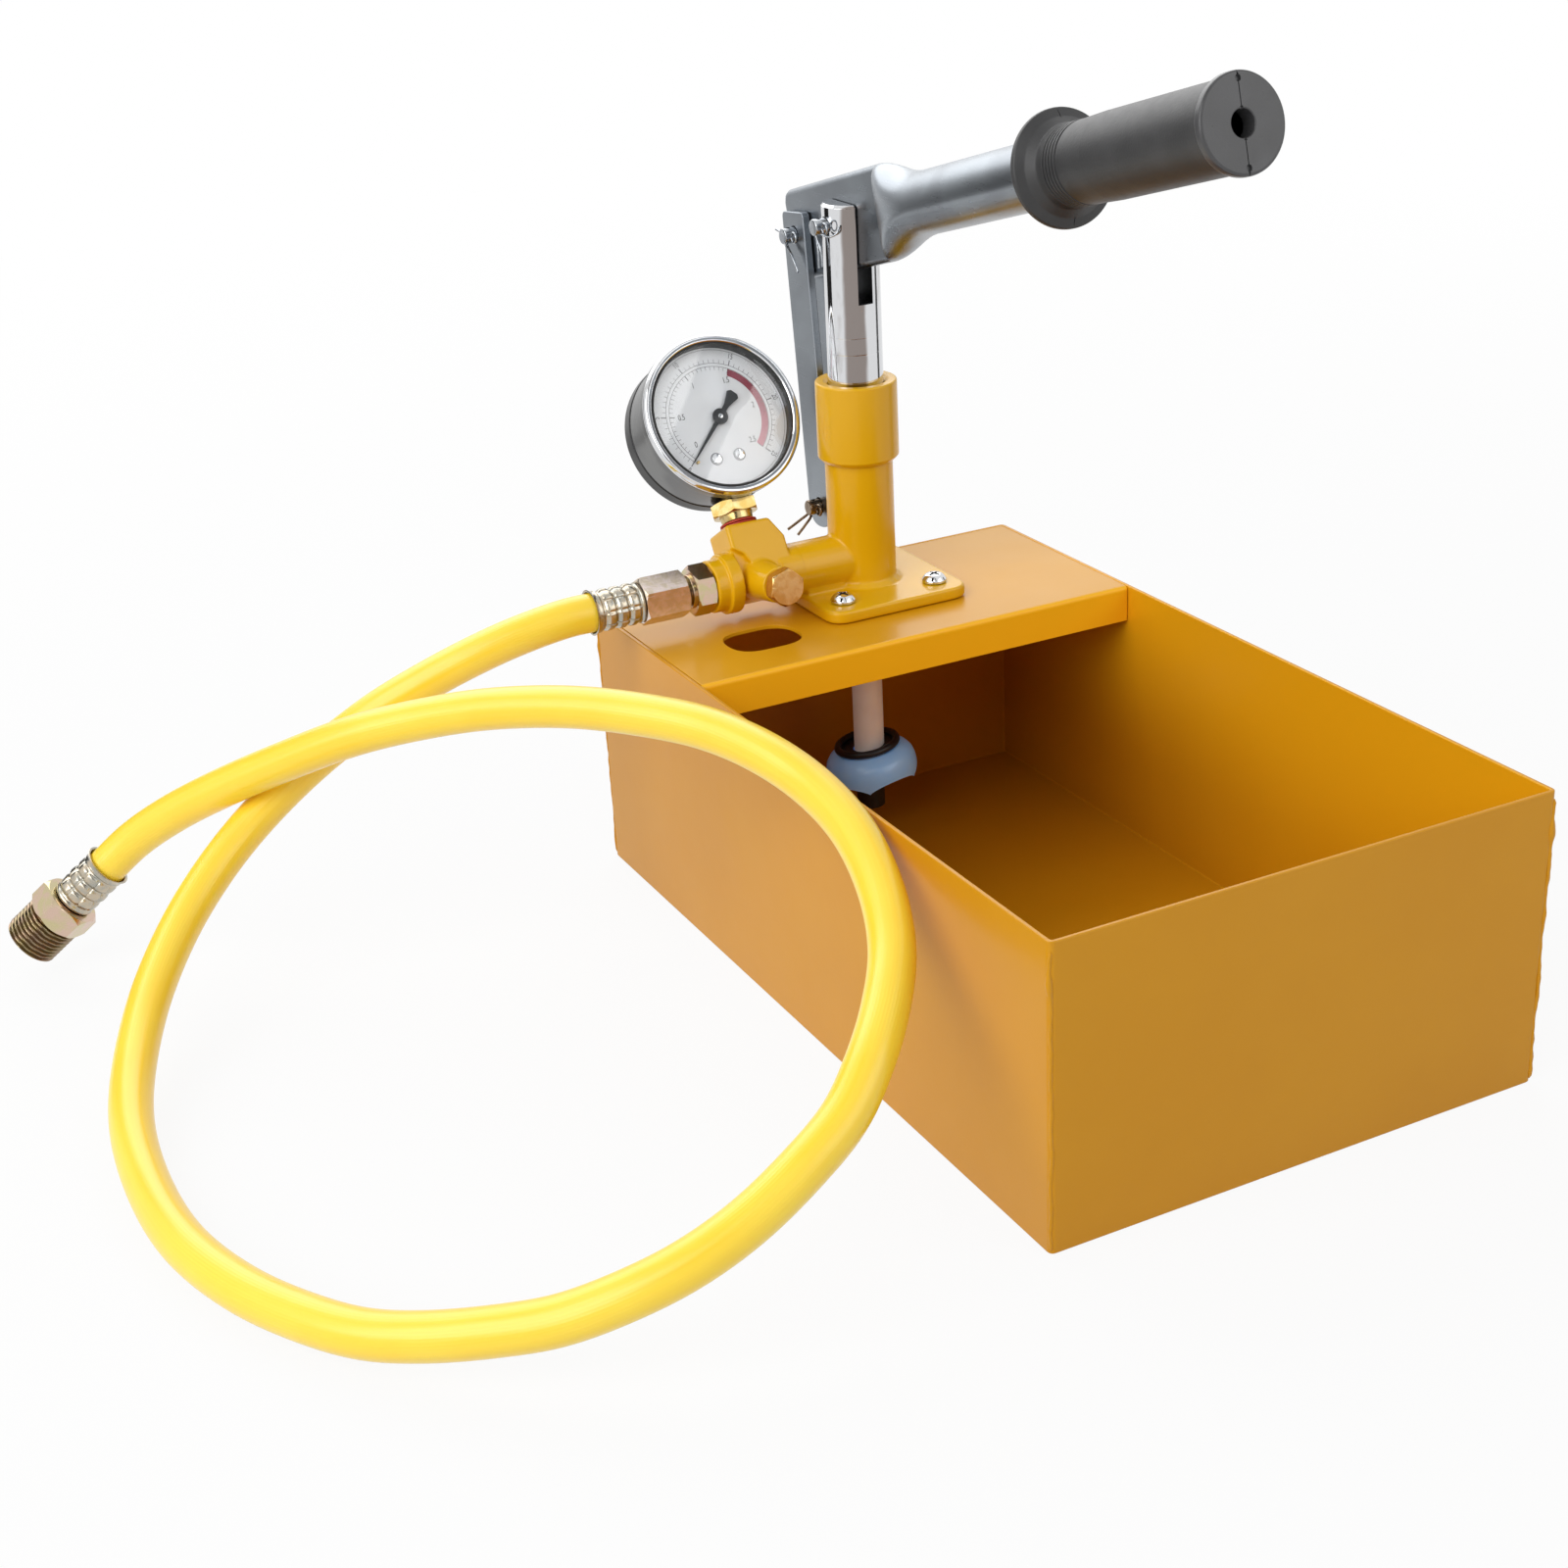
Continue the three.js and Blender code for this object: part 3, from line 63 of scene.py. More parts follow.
# Node trees
class Field:
    """A node's output. Sums, differences and products of it add Math nodes."""

    def __init__(self, graph, socket):
        self.graph = graph
        self.socket = socket

    def output(self, name):
        return Field(self.graph, self.socket.node.outputs[name])

    def __add__(self, other):
        return self.graph.maths("ADD", self, other)

    def __radd__(self, other):
        return self.graph.maths("ADD", other, self)

    def __sub__(self, other):
        return self.graph.maths("SUBTRACT", self, other)

    def __rsub__(self, other):
        return self.graph.maths("SUBTRACT", other, self)

    def __mul__(self, other):
        return self.graph.maths("MULTIPLY", self, other)

    def __rmul__(self, other):
        return self.graph.maths("MULTIPLY", other, self)


class Graph:
    """A node tree that is built from expressions."""

    def __init__(self, tree):
        self.tree = tree

    def put(self, socket, value):
        if isinstance(value, Field):
            self.tree.links.new(value.socket, socket)
        else:
            socket.default_value = value

    def node(self, kind, settings=None, sockets=None, output=0):
        made = self.tree.nodes.new(kind)
        for name, value in (settings or {}).items():
            setattr(made, name, value)
        for name, value in (sockets or {}).items():
            self.put(made.inputs[name], value)
        return Field(self, made.outputs[output])

    def maths(self, operation, *values):
        return self.node("ShaderNodeMath", {"operation": operation}, dict(enumerate(values)))

    def step(self, value, low, high):
        """Goes smoothly from 0 where the value is low to 1 where it is high."""
        settings = {"interpolation_type": "SMOOTHSTEP"}
        return self.node("ShaderNodeMapRange", settings, {"Value": value, "From Min": low, "From Max": high})

    def mix(self, first, second, share):
        """Goes from the first colour to the second."""
        return self.node("ShaderNodeMix", {"data_type": "RGBA"}, {0: share, 6: first, 7: second}, 2)


def colour(code):
    """A colour as the renderer wants it, from its usual six-digit code."""
    shares = [int(code[i:i + 2], 16) / 255 for i in (0, 2, 4)]
    return tuple(s / 12.92 if s <= 0.04045 else ((s + 0.055) / 1.055) ** 2.4 for s in shares) + (1,)


class Finish(Graph):
    """A material with one Principled shader, named after the slot that it belongs to."""

    def __init__(self, slot, name=None):
        self.slot = slot
        self.material = bpy.data.materials.new(name or slot)
        self.material.use_nodes = True
        super().__init__(self.material.node_tree)
        self.shader = self.tree.nodes["Principled BSDF"]
        self.place = self.node("ShaderNodeTexCoord", output="Object")

    def set(self, sockets):
        for name, value in sockets.items():
            self.put(self.shader.inputs[name], value)
        return self

    def grain(self, size, stretch=(1, 1, 1), detail=2, distortion=0):
        """Noise with marks of about one size, drawn out along the axes where stretch is below 1."""
        stretched = self.node("ShaderNodeMapping", {}, {"Vector": self.place, "Scale": stretch})
        sockets = {"Vector": stretched, "Scale": 1 / (size * MM), "Detail": detail, "Distortion": distortion}
        return self.node("ShaderNodeTexNoise", {}, sockets)

    def relief(self, height, depth, strength=1):
        """Bumps the surface by a field from 0 to 1 that stands depth millimetres high."""
        sockets = {"Height": height, "Distance": depth * MM, "Strength": strength}
        return self.set({"Normal": self.node("ShaderNodeBump", {}, sockets)})

    def at(self, axis):
        """How far along X, Y or Z a point is, in metres."""
        return self.node("ShaderNodeSeparateXYZ", {}, {"Vector": self.place}, axis)

    def dress(self, body, light, share, roughness):
        """Two colours mixed by a share, and how rough the surface is."""
        return self.set({"Base Color": self.mix(colour(body), colour(light), share), "Roughness": roughness})

    def tint(self):
        """The colour that the surface has so far."""
        return Field(self, self.shader.inputs["Base Color"].links[0].from_socket)


# Finishes
def paint(slot, body, light, roughness, peel, gloss=1.4, name=None):
    """Baked enamel: a clear gloss over colour, with the dimpled skin that spraying leaves."""
    finish = Finish(slot, name)
    cloud = finish.step(finish.grain(46, detail=3), 0.2, 0.85)
    finish.dress(body, light, cloud, roughness + 0.08 * finish.grain(17))
    finish.set({"Coat Weight": 0.06, "Coat Roughness": 0.12, "IOR": gloss})
    return finish.relief(0.3 * finish.grain(1.3, detail=1) + 0.7 * finish.grain(9, detail=1), peel)


def tank_finish():
    """The tank's enamel, with painted light and shade inside: the upper inner walls are lighter, and a
    painted shade of dark brown lies low inside towards the back.
    """
    finish = paint("tank_paint", "cc8d0e", "cf9112", 0.26, 0.05, 1.3)

    def outside(axis, half):
        """1 on the outer faces that an axis meets, and 0 inside the wall."""
        wall = half - SHEET
        return finish.step(finish.maths("ABSOLUTE", finish.at(axis)), (wall + 0.2) * MM, (wall + 0.6) * MM)

    inner = (1 - outside("X", TANK_WIDTH / 2)) * (1 - outside("Y", TANK_LENGTH / 2))
    high = finish.step(finish.at("Z"), 0.03, 0.1)
    far = finish.step(finish.at("Y"), -0.05, 0.11)
    # Painted light: the upper inner walls are mixed to a lighter yellow.
    painted_lit_inner_walls = finish.mix(finish.tint(), colour("e2a312"), inner * high)
    # Painted shade: low inside and towards the back, the colour is mixed to dark brown.
    return finish.set({"Base Color": finish.mix(painted_lit_inner_walls, colour("964e04"), 0.65 * inner * (1 - high) * far)})


def shelf_finish():
    """The shelf's enamel, with painted light: the folded lip is lighter than the rest."""
    finish = paint("tank_paint", "d2960f", "d69a12", 0.3, 0.05, 1.33, "shelf_paint")
    # Painted light: the folded lip, in front of the bend, is mixed to a lighter yellow.
    level = finish.step(finish.at("Y"), (SHELF_FRONT + 0.2) * MM, (SHELF_FRONT + BEND) * MM)
    return finish.set({"Base Color": finish.mix(colour("ffbe1a"), finish.tint(), level)})


def plated(slot, tint, second, roughness, brushed=(1, 1, 1), patch=6, name=None):
    """Plated steel: fine scratches one way, slow changes of tint, and a brown film where it is soiled."""
    finish = Finish(slot, name)
    tone = finish.step(finish.grain(patch, distortion=0.6), 0.35, 0.65)
    scratch = finish.grain(0.5, brushed, detail=3)
    soiled = finish.node("ShaderNodeAttribute", {"attribute_name": "soiled"}, output="Fac")
    finish.dress(tint, second, tone, roughness + 0.1 * scratch)
    finish.set({"Base Color": finish.mix(finish.tint(), colour("5e4c30"), 0.7 * soiled), "Metallic": 1})
    return finish.relief(scratch, 0.004, 0.5)


def polished(slot, tint, second, roughness, name=None):
    """Hard chrome: a mirror with a few faint smears."""
    finish = Finish(slot, name)
    smear = finish.step(finish.grain(7, (1, 1, 0.4), detail=4), 0.55, 0.8)
    finish.dress(tint, second, smear, roughness + 0.12 * smear)
    finish.set({"Metallic": 1})
    return finish.relief(finish.grain(12, detail=1), 0.02)


def rod_finish():
    """Hard chrome with a painted reflection: a brown band down the side of the rod that faces the camera."""
    finish = polished("chrome", "d8d9db", "b2afae", 0.08, "rod_chrome")
    # Painted reflection: a ragged brown band where the rod's surface faces the camera.
    across = (finish.at("X") - COLUMN_X * MM) * (-0.42 / (PLUNGER * MM))
    facing = across + (finish.at("Y") - COLUMN_Y * MM) * (-0.91 / (PLUNGER * MM))
    ragged = facing + 0.05 * (finish.grain(4, (1, 1, 0.25), detail=3) - 0.5)
    painted_reflection_band = 0.85 * finish.step(ragged, 0.9, 0.96)
    return finish.set({"Base Color": finish.mix(finish.tint(), colour("7a6d66"), painted_reflection_band)})


def rubber(slot, body, light, roughness, depth, name=None):
    """Moulded rubber, and fibre or paint that is as even."""
    finish = Finish(slot, name)
    cloud = finish.step(finish.grain(12, detail=4), 0.35, 0.8)
    finish.dress(body, light, cloud, roughness + 0.12 * finish.grain(3))
    return finish.relief(finish.grain(0.7, detail=3), depth)


def plastic(slot, body, light, roughness, through):
    """Moulded plastic that lets some light through, with a faint painted glow in its own colour."""
    finish = Finish(slot)
    cloud = finish.step(finish.grain(9), 0.3, 0.7)
    finish.dress(body, light, cloud, roughness + 0.1 * finish.grain(4))
    finish.set({
        "Subsurface Weight": through,
        "Subsurface Radius": (0.004, 0.003, 0.002),
        "Subsurface Scale": 1,
        # Painted light: a faint glow in the plastic's own colour, though it is no lamp.
        "Emission Color": colour(body),
        "Emission Strength": 0.05,
    })
    return finish.relief(finish.grain(2), 0.05)


def hose_skin():
    """Glossy woven-lined PVC: fine lengthwise lines that come and go."""
    finish = Finish("hose_rubber")
    lay = finish.node("ShaderNodeUVMap", {"uv_map": "lay"})
    across = finish.node("ShaderNodeSeparateXYZ", {}, {"Vector": lay}, "X")
    lines = finish.maths("SINE", across * (TURN * 46)) * 0.5 + 0.5
    flat = finish.node("ShaderNodeMapping", {}, {"Vector": lay, "Scale": (60, 9, 1)})
    strands = finish.node("ShaderNodeTexNoise", {}, {"Vector": flat, "Scale": 1, "Detail": 3})
    drift = finish.step(finish.grain(38), 0.35, 0.7)
    finish.dress("fcd22a", "ffe14a", 0.6 * strands + 0.3 * drift, 0.26 + 0.12 * strands)
    finish.set({
        "Coat Weight": 0.35,
        "Coat Roughness": 0.25,
        "Subsurface Weight": 0.12,
        "Subsurface Radius": (0.006, 0.004, 0.001),
        "Subsurface Scale": 1,
    })
    return finish.relief(0.7 * lines * drift + 0.4 * strands, 0.05)


def dial_card():
    """Brushed silver-white card."""
    finish = Finish("dial_face")
    finish.dress("cfd1d4", "d9dadc", finish.grain(8), 0.4 + 0.1 * finish.grain(0.6, (1, 0.1, 1)))
    finish.set({"Metallic": 0.15})
    return finish.relief(finish.grain(0.4, (1, 0.1, 1)), 0.01)


def clear_glass():
    finish = Finish("glass")
    finish.set({
        "Base Color": finish.mix(WHITE, (0.97, 0.98, 0.98, 1), finish.grain(25)),
        "Roughness": 0.01 + 0.02 * finish.grain(20),
        "Transmission Weight": 1,
        "IOR": 1.08,
        "Coat Weight": 1,
        "Coat Roughness": 0.03,
    })
    return finish


def ink(name, body, light):
    finish = Finish("dial_face", name)
    cloud = finish.step(finish.grain(12), 0.35, 0.7)
    return finish.dress(body, light, cloud, 0.5 + 0.1 * finish.grain(1))


def band_ink():
    """The dial's red, which pales towards the foot of the dial."""
    finish = ink("red_ink", "7c1a30", "8e2a40")
    upper = finish.step(finish.at("Z"), 0.157, 0.186)
    return finish.set({"Base Color": finish.mix(colour("c98d98"), finish.tint(), upper)})


tank_paint = tank_finish()
shelf_paint = shelf_finish()
pump_paint = paint("pump_paint", "dfaa07", "e2af0e", 0.2, 0.04)
zinc = plated("zinc", "898e94", "959ba1", 0.24, (1, 0.03, 1), 30)
chrome = polished("chrome", "d8d9db", "c4c2c0", 0.06)
rod_chrome = rod_finish()
# Near-black steel for the painted shade in the plunger's slot.
painted_shade_steel = plated("steel", "17181a", "26272a", 0.3, patch=5, name="painted_shade_steel")
bronze = plated("zinc", "7d6a58", "94836f", 0.22, patch=2, name="bronzed_pin")
pin_zinc = plated("zinc", "b4b8bc", "9a9ea4", 0.14, patch=3, name="pin_zinc")
yellow_zinc = plated("yellow_zinc", "c9bd94", "d3b8a6", 0.14, patch=5)
pink_zinc = plated("yellow_zinc", "eadbd3", "dccdb8", 0.2, (0.03, 1, 1), 3, "pink_zinc")
gold_zinc = plated("yellow_zinc", "cf9f58", "dcb67c", 0.2, patch=4, name="gold_zinc")
crimp_zinc = plated("yellow_zinc", "aaa89e", "c2b5a0", 0.2, patch=3, name="crimp_zinc")
brass = plated("brass", "b69a58", "cdb683", 0.16, patch=5)
fibre = rubber("fibre", "a3200f", "c0351c", 0.45, 0.06)
black_rubber = rubber("black_rubber", "161616", "232323", 0.35, 0.03)
grip_rubber = rubber("grip_rubber", "29292a", "333334", 0.4, 0.05)
grip_end = rubber("grip_rubber", "3c3c3d", "48484a", 0.24, 0.02, "grip_end")
satin_steel = plated("satin_steel", "6c6c6c", "7b7b7a", 0.2, (0.3, 1, 0.3), 20)
dial_face = dial_card()
glass = clear_glass()
black_paint = rubber("black_paint", "0b0b0c", "151516", 0.25, 0.02)
hose_rubber = hose_skin()
tube_plastic = plastic("tube_plastic", "efe2da", "f5ebe4", 0.35, 0.3)
strainer_plastic = plastic("strainer_plastic", "94c8ff", "a2d0ff", 0.16, 0.1)
steel = polished("steel", "c0c1c3", "aaa8a6", 0.06)
black_ink = ink("black_ink", "1c1c1e", "55565a")
red_ink = band_ink()


# Meshes
def placed(name, data):
    """A new object in the scene."""
    made = bpy.data.objects.new(name, data)
    bpy.context.scene.collection.objects.link(made)
    return made


def piece_from(name, points, faces, place=Matrix()):
    """A mesh object at the origin, from points in millimetres in the frame that place gives."""
    mesh = bpy.data.meshes.new(name)
    mesh.from_pydata([(place @ Vector(point)) * MM for point in points], [], faces)
    mesh.validate()
    return shaded(placed(name, mesh))


def shaded(piece, angle=SHARP):
    piece.data.shade_smooth()
    piece.data.set_sharp_from_angle(angle=angle)
    return piece


def worked(piece):
    """The mesh that the piece's curve or modifiers give."""
    return bpy.data.meshes.new_from_object(piece.evaluated_get(bpy.context.evaluated_depsgraph_get()))


def settled(piece, angle=SHARP):
    """The piece with its modifiers worked into its mesh."""
    mesh = worked(piece)
    piece.modifiers.clear()
    piece.data = mesh
    return shaded(piece, angle) if angle else piece


def changed(piece, kind, settings, angle=SHARP):
    modifier = piece.modifiers.new(kind.lower(), kind)
    for name, value in settings.items():
        setattr(modifier, name, value)
    return settled(piece, angle)


def bevelled(piece, width, segments=2, limit=30):
    settings = {"width": width * MM, "segments": segments, "limit_method": "ANGLE", "harden_normals": True}
    return changed(piece, "BEVEL", {**settings, "angle_limit": radians(limit)}, None)


def combined(first, operation, others):
    for other in others:
        changed(first, "BOOLEAN", {"operation": operation, "solver": "EXACT", "object": other})
        bpy.data.objects.remove(other)
    return first


def joined(first, *others):
    return combined(first, "UNION", others)


def cut(first, *others):
    return combined(first, "DIFFERENCE", others)


def cast(piece, voxel, rounds):
    """One skin over the whole piece, with its corners and joints softened as thick paint does."""
    changed(piece, "REMESH", {"mode": "VOXEL", "voxel_size": voxel * MM})
    return changed(piece, "SMOOTH", {"factor": 0.5, "iterations": rounds}, radians(80))


def gathered(name, pieces):
    """Several separate meshes as one piece."""
    with bpy.context.temp_override(active_object=pieces[0], selected_editable_objects=pieces):
        bpy.ops.object.join()
    pieces[0].name = name
    pieces[0].data.name = name
    return pieces[0]


def eased(outline, steps):
    """An outline of (across, along) or (across, along, radius) corners, rounded where they have a radius."""
    points = []
    for i, corner in enumerate(outline):
        here = Vector(corner[:2])
        if len(corner) < 3:
            points.append(here)
            continue
        into = Vector(outline[i - 1][:2]) - here
        out = Vector(outline[(i + 1) % len(outline)][:2]) - here
        reach = min(corner[2] / tan(into.angle(out) / 2), into.length * 0.5, out.length * 0.5)
        start, end = here + into.normalized() * reach, here + out.normalized() * reach
        for k in range(steps + 1):
            t = k / steps
            points.append(start * (1 - t) ** 2 + here * 2 * t * (1 - t) + end * t ** 2)
    return points


def circle(radius, sides, height=0):
    """Points on a circle about Z."""
    angles = [TURN * k / sides for k in range(sides)]
    return [(radius * cos(a), radius * sin(a), height) for a in angles]


def turned(name, outline, place=Matrix(), sides=72):
    """A solid turned about Z, from a closed anticlockwise outline of radius, height and corner radius."""
    points, rows = [], []
    for radius, height in eased(outline, 4):
        count = sides if radius > 0 else 1
        rows.append([len(points) + k for k in range(count)])
        points += circle(radius, sides, height)[:count]
    faces = []
    for low, high in zip(rows, rows[1:] + rows[:1]):
        for k in range(sides):
            n = (k + 1) % sides
            corners = [low[k % len(low)], low[n % len(low)], high[n % len(high)], high[k % len(high)]]
            face = list(dict.fromkeys(corners))
            if len(face) > 2:
                faces.append(face)
    return piece_from(name, points, faces, place)


def rod(radius, low, high, place=Matrix(), sides=48):
    return turned("rod", [(0, low), (radius, low), (radius, high), (0, high)], place, sides)


def ring(name, inner, outer, low, high, place=Matrix(), edge=0.3, sides=72):
    corners = [(inner, low), (outer, low, edge), (outer, high, edge), (inner, high, edge)]
    return turned(name, corners, place, sides)


def lofted(name, rings, place=Matrix(), closed=False):
    """A skin over rings of equally many points, with its ends capped unless the rings close up."""
    count = len(rings[0])
    points = [point for ring_points in rings for point in ring_points]
    faces = []
    for i in range(len(rings) if closed else len(rings) - 1):
        here, there = i * count, (i + 1) % len(rings) * count
        for k in range(count):
            n = (k + 1) % count
            faces.append((here + k, here + n, there + n, there + k))
    if not closed:
        last = (len(rings) - 1) * count
        faces.append(tuple(reversed(range(count))))
        faces.append(tuple(last + k for k in range(count)))
    return piece_from(name, points, faces, place)


def prism(name, outline, low, high, place=Matrix(), steps=5):
    """A flat piece from an anticlockwise outline in X and Y."""
    corners = eased(outline, steps)
    return lofted(name, [[(x, y, z) for x, y in corners] for z in (low, high)], place)


def box(x0, x1, y0, y1, z0, z1, place=Matrix()):
    return prism("box", [(x0, y0), (x1, y0), (x1, y1), (x0, y1)], z0, z1, place)


def hex_bar(name, flats, low, high, chamfer, place=Matrix(), turn=0):
    """A hexagon bar with its corners turned off at both ends."""
    face, corner = flats / 2, flats / sqrt(3)
    angles = [turn + TURN * k / 6 for k in range(6)]
    bar = prism(name, [(corner * cos(a), corner * sin(a)) for a in angles], low, high, place)
    outline = [
        (0, low), (face, low), (corner, low + chamfer), (corner, high - chamfer), (face, high), (0, high),
    ]
    combined(bar, "INTERSECT", [turned("turned", outline, place, 96)])
    return bevelled(bar, 0.22, 2, 20)


def along(points, steps):
    """Points on the smooth curve through the given ones, with each stretch as quick as its chord is long."""
    points = [Vector(point) for point in points]
    padded = [2 * points[0] - points[1], *points, 2 * points[-1] - points[-2]]
    curve = []
    for a, b, c, d in zip(padded, padded[1:], padded[2:], padded[3:]):
        before, here, after = (sqrt((q - p).length) for p, q in ((a, b), (b, c), (c, d)))
        leave = ((b - a) / before - (c - a) / (before + here) + (c - b) / here) * here
        arrive = ((c - b) / here - (d - b) / (here + after) + (d - c) / after) * here
        for k in range(steps):
            t = k / steps
            curve.append(
                b + leave * t + (3 * (c - b) - 2 * leave - arrive) * t ** 2
                + (2 * (b - c) + leave + arrive) * t ** 3
            )
    curve.append(points[-1])
    return curve


def tube(name, centres, radius_at, sides, place=Matrix()):
    """A round tube on a line of centres, which carries the UV map "lay": once round, and metres along."""
    last = len(centres) - 1
    tangents = [(centres[min(i + 1, last)] - centres[max(i - 1, 0)]).normalized() for i in range(last + 1)]
    side = tangents[0].orthogonal().normalized()
    angles = [TURN * k / sides for k in range(sides)]
    rings, lengths = [], [0]
    for i, (centre, tangent) in enumerate(zip(centres, tangents)):
        if i:
            side = tangents[i - 1].rotation_difference(tangent) @ side
            lengths.append(lengths[-1] + (centre - centres[i - 1]).length * MM)
        up = tangent.cross(side)
        rings.append([centre + (side * cos(a) + up * sin(a)) * radius_at(i, a) for a in angles])
    piece = lofted(name, rings, place)
    lay = piece.data.uv_layers.new(name="lay")
    for face in piece.data.polygons:
        if len(face.vertices) != 4:
            continue
        wraps = {v % sides for v in face.vertices} == {0, sides - 1}
        for loop in face.loop_indices:
            vertex = piece.data.loops[loop].vertex_index
            step = sides if wraps and vertex % sides == 0 else vertex % sides
            lay.data[loop].uv = (step / sides, lengths[vertex // sides])
    return piece


def wire(name, points, diameter, place=Matrix(), sides=12, steps=8):
    return tube(name, along(points, steps), lambda i, a: diameter / 2, sides, place)


def turn_about(axis, degrees):
    return Matrix.Rotation(radians(degrees), 4, axis)


def move(x, y, z):
    return Matrix.Translation((x, y, z))


def fitted(piece, body, finish, *nodes):
    """Gives a finished piece its material and its body, in place of the nodes named."""
    if len(piece.data.polygons) < FINE_MESH:
        changed(piece, "WEIGHTED_NORMAL", {"keep_sharp": True, "weight": 90}, None)
    piece.data.materials.clear()
    piece.data.materials.append(finish.material)
    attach(piece, body)
    if nodes:
        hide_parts(*nodes)
    return piece


# Geometry trees for what repeats
def repeat_tree(name, sizes, points_of, turn_of=None):
    """A geometry tree with named sizes that sets copies of one piece on the points that points_of gives."""
    tree = bpy.data.node_groups.new(name, "GeometryNodeTree")
    tree.interface.new_socket(name="Piece", in_out="INPUT", socket_type="NodeSocketObject")
    tree.interface.new_socket(name="Finish", in_out="INPUT", socket_type="NodeSocketMaterial")
    for size, kind in sizes.items():
        tree.interface.new_socket(name=size, in_out="INPUT", socket_type="NodeSocket" + kind)
    tree.interface.new_socket(name="Geometry", in_out="OUTPUT", socket_type="NodeSocketGeometry")
    graph = Graph(tree)
    given = graph.node("NodeGroupInput")
    sockets = {"Object": given.output("Piece")}
    copy = graph.node("GeometryNodeObjectInfo", {"transform_space": "ORIGINAL"}, sockets, "Geometry")
    sockets = {"Points": points_of(graph, given), "Instance": copy}
    if turn_of:
        sockets["Rotation"] = turn_of(graph, given)
    copies = graph.node("GeometryNodeInstanceOnPoints", {}, sockets)
    real = graph.node("GeometryNodeRealizeInstances", {}, {"Geometry": copies})
    sockets = {"Geometry": real, "Material": given.output("Finish")}
    dressed = graph.node("GeometryNodeSetMaterial", {}, sockets)
    graph.put(tree.nodes.new("NodeGroupOutput").inputs[0], dressed)
    return tree


def spin_angle(graph, given):
    return given.output("Start") + graph.node("GeometryNodeInputIndex") * given.output("Step")


def spin_points(graph, given):
    angle, radius = spin_angle(graph, given), given.output("Radius")
    sockets = {"X": graph.maths("COSINE", angle) * radius, "Y": graph.maths("SINE", angle) * radius}
    place = graph.node("ShaderNodeCombineXYZ", {}, sockets)
    return graph.node("GeometryNodePoints", {}, {"Count": given.output("Count"), "Position": place})


def spin_turn(graph, given):
    return graph.node("ShaderNodeCombineXYZ", {}, {"Z": spin_angle(graph, given)})


def corner_points(graph, given):
    sockets = {"Size " + axis: given.output("Pitch " + axis) for axis in "XY"}
    return graph.node("GeometryNodeMeshGrid", {}, {**sockets, "Vertices X": 2, "Vertices Y": 2})


spin_sizes = {"Count": "Int", "Radius": "Float", "Start": "Float", "Step": "Float"}
spin = repeat_tree("copies_in_a_ring", spin_sizes, spin_points, spin_turn)
corners = repeat_tree("copies_at_four_corners", {"Pitch X": "Float", "Pitch Y": "Float"}, corner_points)


def repeated(name, tree, piece, finish, place, sizes):
    """Copies of the piece, made real as one mesh. The piece itself is used up."""
    carrier = placed(name, bpy.data.meshes.new(name))
    modifier = carrier.modifiers.new(name, "NODES")
    modifier.node_group = tree
    given = {"Piece": piece, "Finish": finish.material, **sizes}
    for item in tree.interface.items_tree:
        if item.in_out == "INPUT":
            modifier[item.identifier] = given[item.name]
    settled(carrier)
    bpy.data.objects.remove(piece)
    scaled = place.copy()
    scaled.translation *= MM
    carrier.data.transform(scaled)
    return carrier


# Frames of the main pieces, in millimetres
column_frame = move(COLUMN_X, COLUMN_Y, 0)
base_frame = column_frame @ move(0, 0, SHELF_Z)
pin_frame = move(COLUMN_X, COLUMN_Y, PIN_Z)
tee_frame = move(COLUMN_X - GAUGE_AT, COLUMN_Y, PIPE_Z)
plug_frame = tee_frame @ turn_about("X", 90 - 8.5)
stem_frame = tee_frame @ turn_about("X", -31)
dial_frame = stem_frame @ move(0, 0, 60.8) @ turn_about("X", 90)
outlet_frame = move(COLUMN_X, COLUMN_Y, PIPE_Z) @ turn_about("Y", -90)
handle_frame = pin_frame @ turn_about("X", 75)
side_frame = Matrix(((0, 0, 1, 0), (1, 0, 0, 0), (0, 1, 0, 0), (0, 0, 0, 1)))


def facing(place, target):
    """The frame at a place that looks at its target along its own -Z."""
    way = Vector(target) - Vector(place)
    return Matrix.Translation(place) @ way.to_track_quat("-Z", "Y").to_matrix().to_4x4()


def camera_turn(yaw, pitch, roll):
    """How the camera is turned: right by yaw, down by pitch, and about its own view by roll."""
    ahead = Vector((sin(yaw) * cos(pitch), cos(yaw) * cos(pitch), -sin(pitch)))
    level = Vector((cos(yaw), -sin(yaw), 0))
    above = level.cross(ahead)
    right = level * cos(roll) + above * sin(roll)
    up = above * cos(roll) - level * sin(roll)
    return Matrix((right, up, -ahead)).transposed().to_4x4()


# Camera, at the photograph's place
CAMERA_PLACE = (-0.4099, -0.65, 0.4175)
YAW, PITCH, ROLL = 0.4532, 0.4232, -0.0536
camera = placed("camera", bpy.data.cameras.new("camera"))
camera.data.lens = 54.66
camera.data.sensor_width = 36
camera.data.sensor_fit = "HORIZONTAL"
camera.matrix_world = Matrix.Translation(CAMERA_PLACE) @ camera_turn(YAW, PITCH, ROLL)
bpy.context.scene.camera = camera

